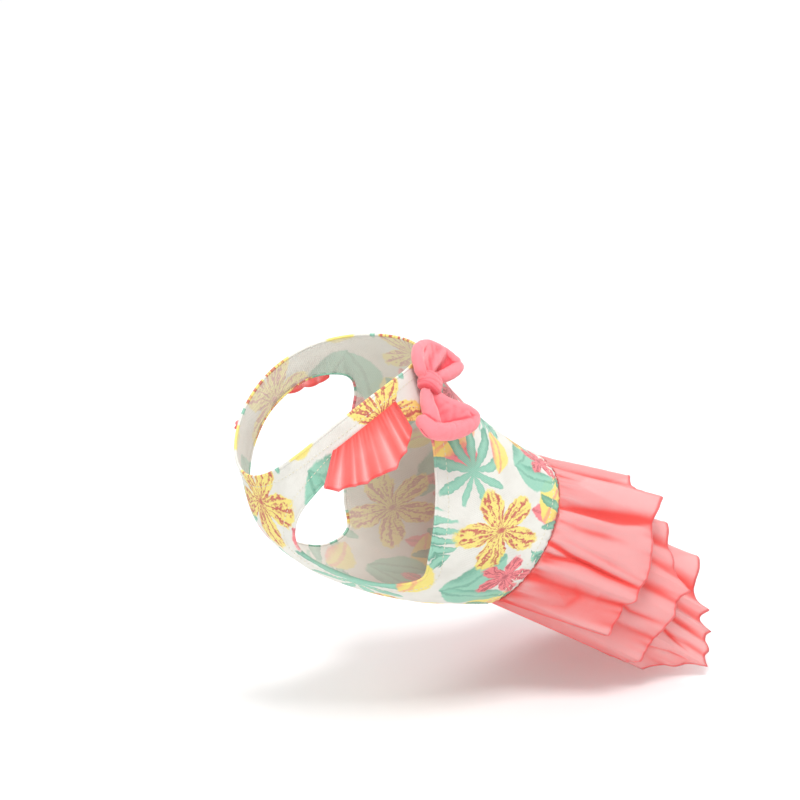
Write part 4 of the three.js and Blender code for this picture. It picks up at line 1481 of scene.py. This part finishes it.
# %% [markdown]
# The hems of the bodice are held by a row of small stitches. A bump could hint at them, but small
# rolls of thread catch the light. Each is a short tube with thin ends, a little sunk into the cloth.


# %% Stitches
STITCH_PITCH, STITCH_LENGTH, THREAD_RADIUS, STITCH_SIDES = 2.3, 1.5, 0.2, 5
STITCH_INSET = 4.6  # from the edge of the cloth to the row of stitches
SUNK = 0.1  # how far a stitch's middle stands above the cloth, and its ends lie below it
THIN_ENDS = np.array([0.5, 1, 1, 0.5])


def sewing_thread(name):
    material, flow, join = new_cloth(name, 0.1, (1, 1, 1, 1), 0.6)
    fibre = flow.node("ShaderNodeTexCoord", None, None, 3).noise(900, 2, 0.6)
    join(Base_Color=fibre.blend(screen_colour(236, 232, 214), screen_colour(205, 200, 178)))
    return material


def stitches(name, flat, closed):
    step = np.linalg.norm(np.diff(on_body(flat, np.full(len(flat), JERSEY)), axis=0), axis=1)
    run = np.concatenate([[0], np.cumsum(step)])
    count = int(run[-1] / STITCH_PITCH)
    points, faces = [], []
    for where in np.linspace(0, run[-1], count, endpoint=not closed):
        at = where + STITCH_LENGTH * np.array([-0.5, -0.25, 0.25, 0.5])
        ends = np.stack([np.interp(at, run, flat[:, k]) for k in (0, 1)], -1)
        line = on_body(ends, jersey_height(ends) + SUNK * np.array([-1, 1, 1, -1]))
        _, _, out = body_frame(ends[:1, 1] / BACK_LENGTH, ends[:1, 0] / FLAT_ROUND)
        side = np.cross(unit(line[-1] - line[0]), out)
        first = len(points)
        points += list(rings(line, THREAD_RADIUS * THIN_ENDS, side, out, STITCH_SIDES))
        faces += [tuple(first + i for i in face) for face in ring_faces(4, STITCH_SIDES)]
    piece = mesh_piece(name, points, faces, np.zeros((len(points), 2)), "printed_jersey", [thread])
    close_up(piece, 0.0005)
    print(name, count, "stitches")


thread = sewing_thread("sewing_thread")


def inset(line, by):
    """A closed flat line moved outwards from its own middle."""
    forward = unit(np.roll(line, -1, 0) - np.roll(line, 1, 0))
    away = np.stack([forward[:, 1], -forward[:, 0]], -1)
    if ((line + away - line.mean(0)) ** 2).sum() < ((line - line.mean(0)) ** 2).sum():
        away = -away
    moved = line + away * by
    return np.concatenate([moved, moved[:1]])


stitches("neck_stitches", level_line(STITCH_INSET, 200), True)
for hole, word in zip(holes, ("left", "right")):
    stitches(f"foreleg_stitches_{word}", inset(hole, STITCH_INSET), True)
stitches("waist_stitches", level_line(BACK_LENGTH - STITCH_INSET, 260), True)

# %% [markdown]
# The studio has a plain pale floor and soft light from large panels. The floor lies just below the
# lowest hem of the skirt. Large panels and a bright world keep the shadows pale and soft.

# %% Floor and lights
FLOOR_Z = -0.182
LIT_SPOT = Vector((0.03, 0, -0.08))  # where all three panels point
bpy.ops.mesh.primitive_plane_add(size=6, location=(0, 0, FLOOR_Z))
floor = bpy.context.active_object
floor.name = "studio_floor"
paper = bpy.data.materials.new("studio_paper")
paper.use_nodes = True
paper_finish = paper.node_tree.nodes["Principled BSDF"].inputs
paper_finish["Base Color"].default_value = (0.9, 0.9, 0.9, 1)
paper_finish["Roughness"].default_value = 0.9
floor.data.materials.append(paper)

world = bpy.data.worlds.new("studio")
bpy.context.scene.world = world
world.use_nodes = True
room_light = world.node_tree.nodes["Background"].inputs
room_light["Color"].default_value = (1, 1, 1, 1)
room_light["Strength"].default_value = 0.72


def panel_light(name, place, size, power):
    data = bpy.data.lights.new(name, "AREA")
    data.size = size
    data.energy = power
    light = bpy.data.objects.new(name, data)
    bpy.context.scene.collection.objects.link(light)
    light.location = Vector(place)
    light.rotation_euler = (light.location - LIT_SPOT).to_track_quat("Z", "Y").to_euler()


panel_light("key_panel", (-0.15, -0.45, 1.25), 0.5, 12)
panel_light("fill_panel", (-1.1, -0.9, 0.5), 0.9, 4)
panel_light("back_panel", (0.7, 0.9, 0.9), 0.8, 7)
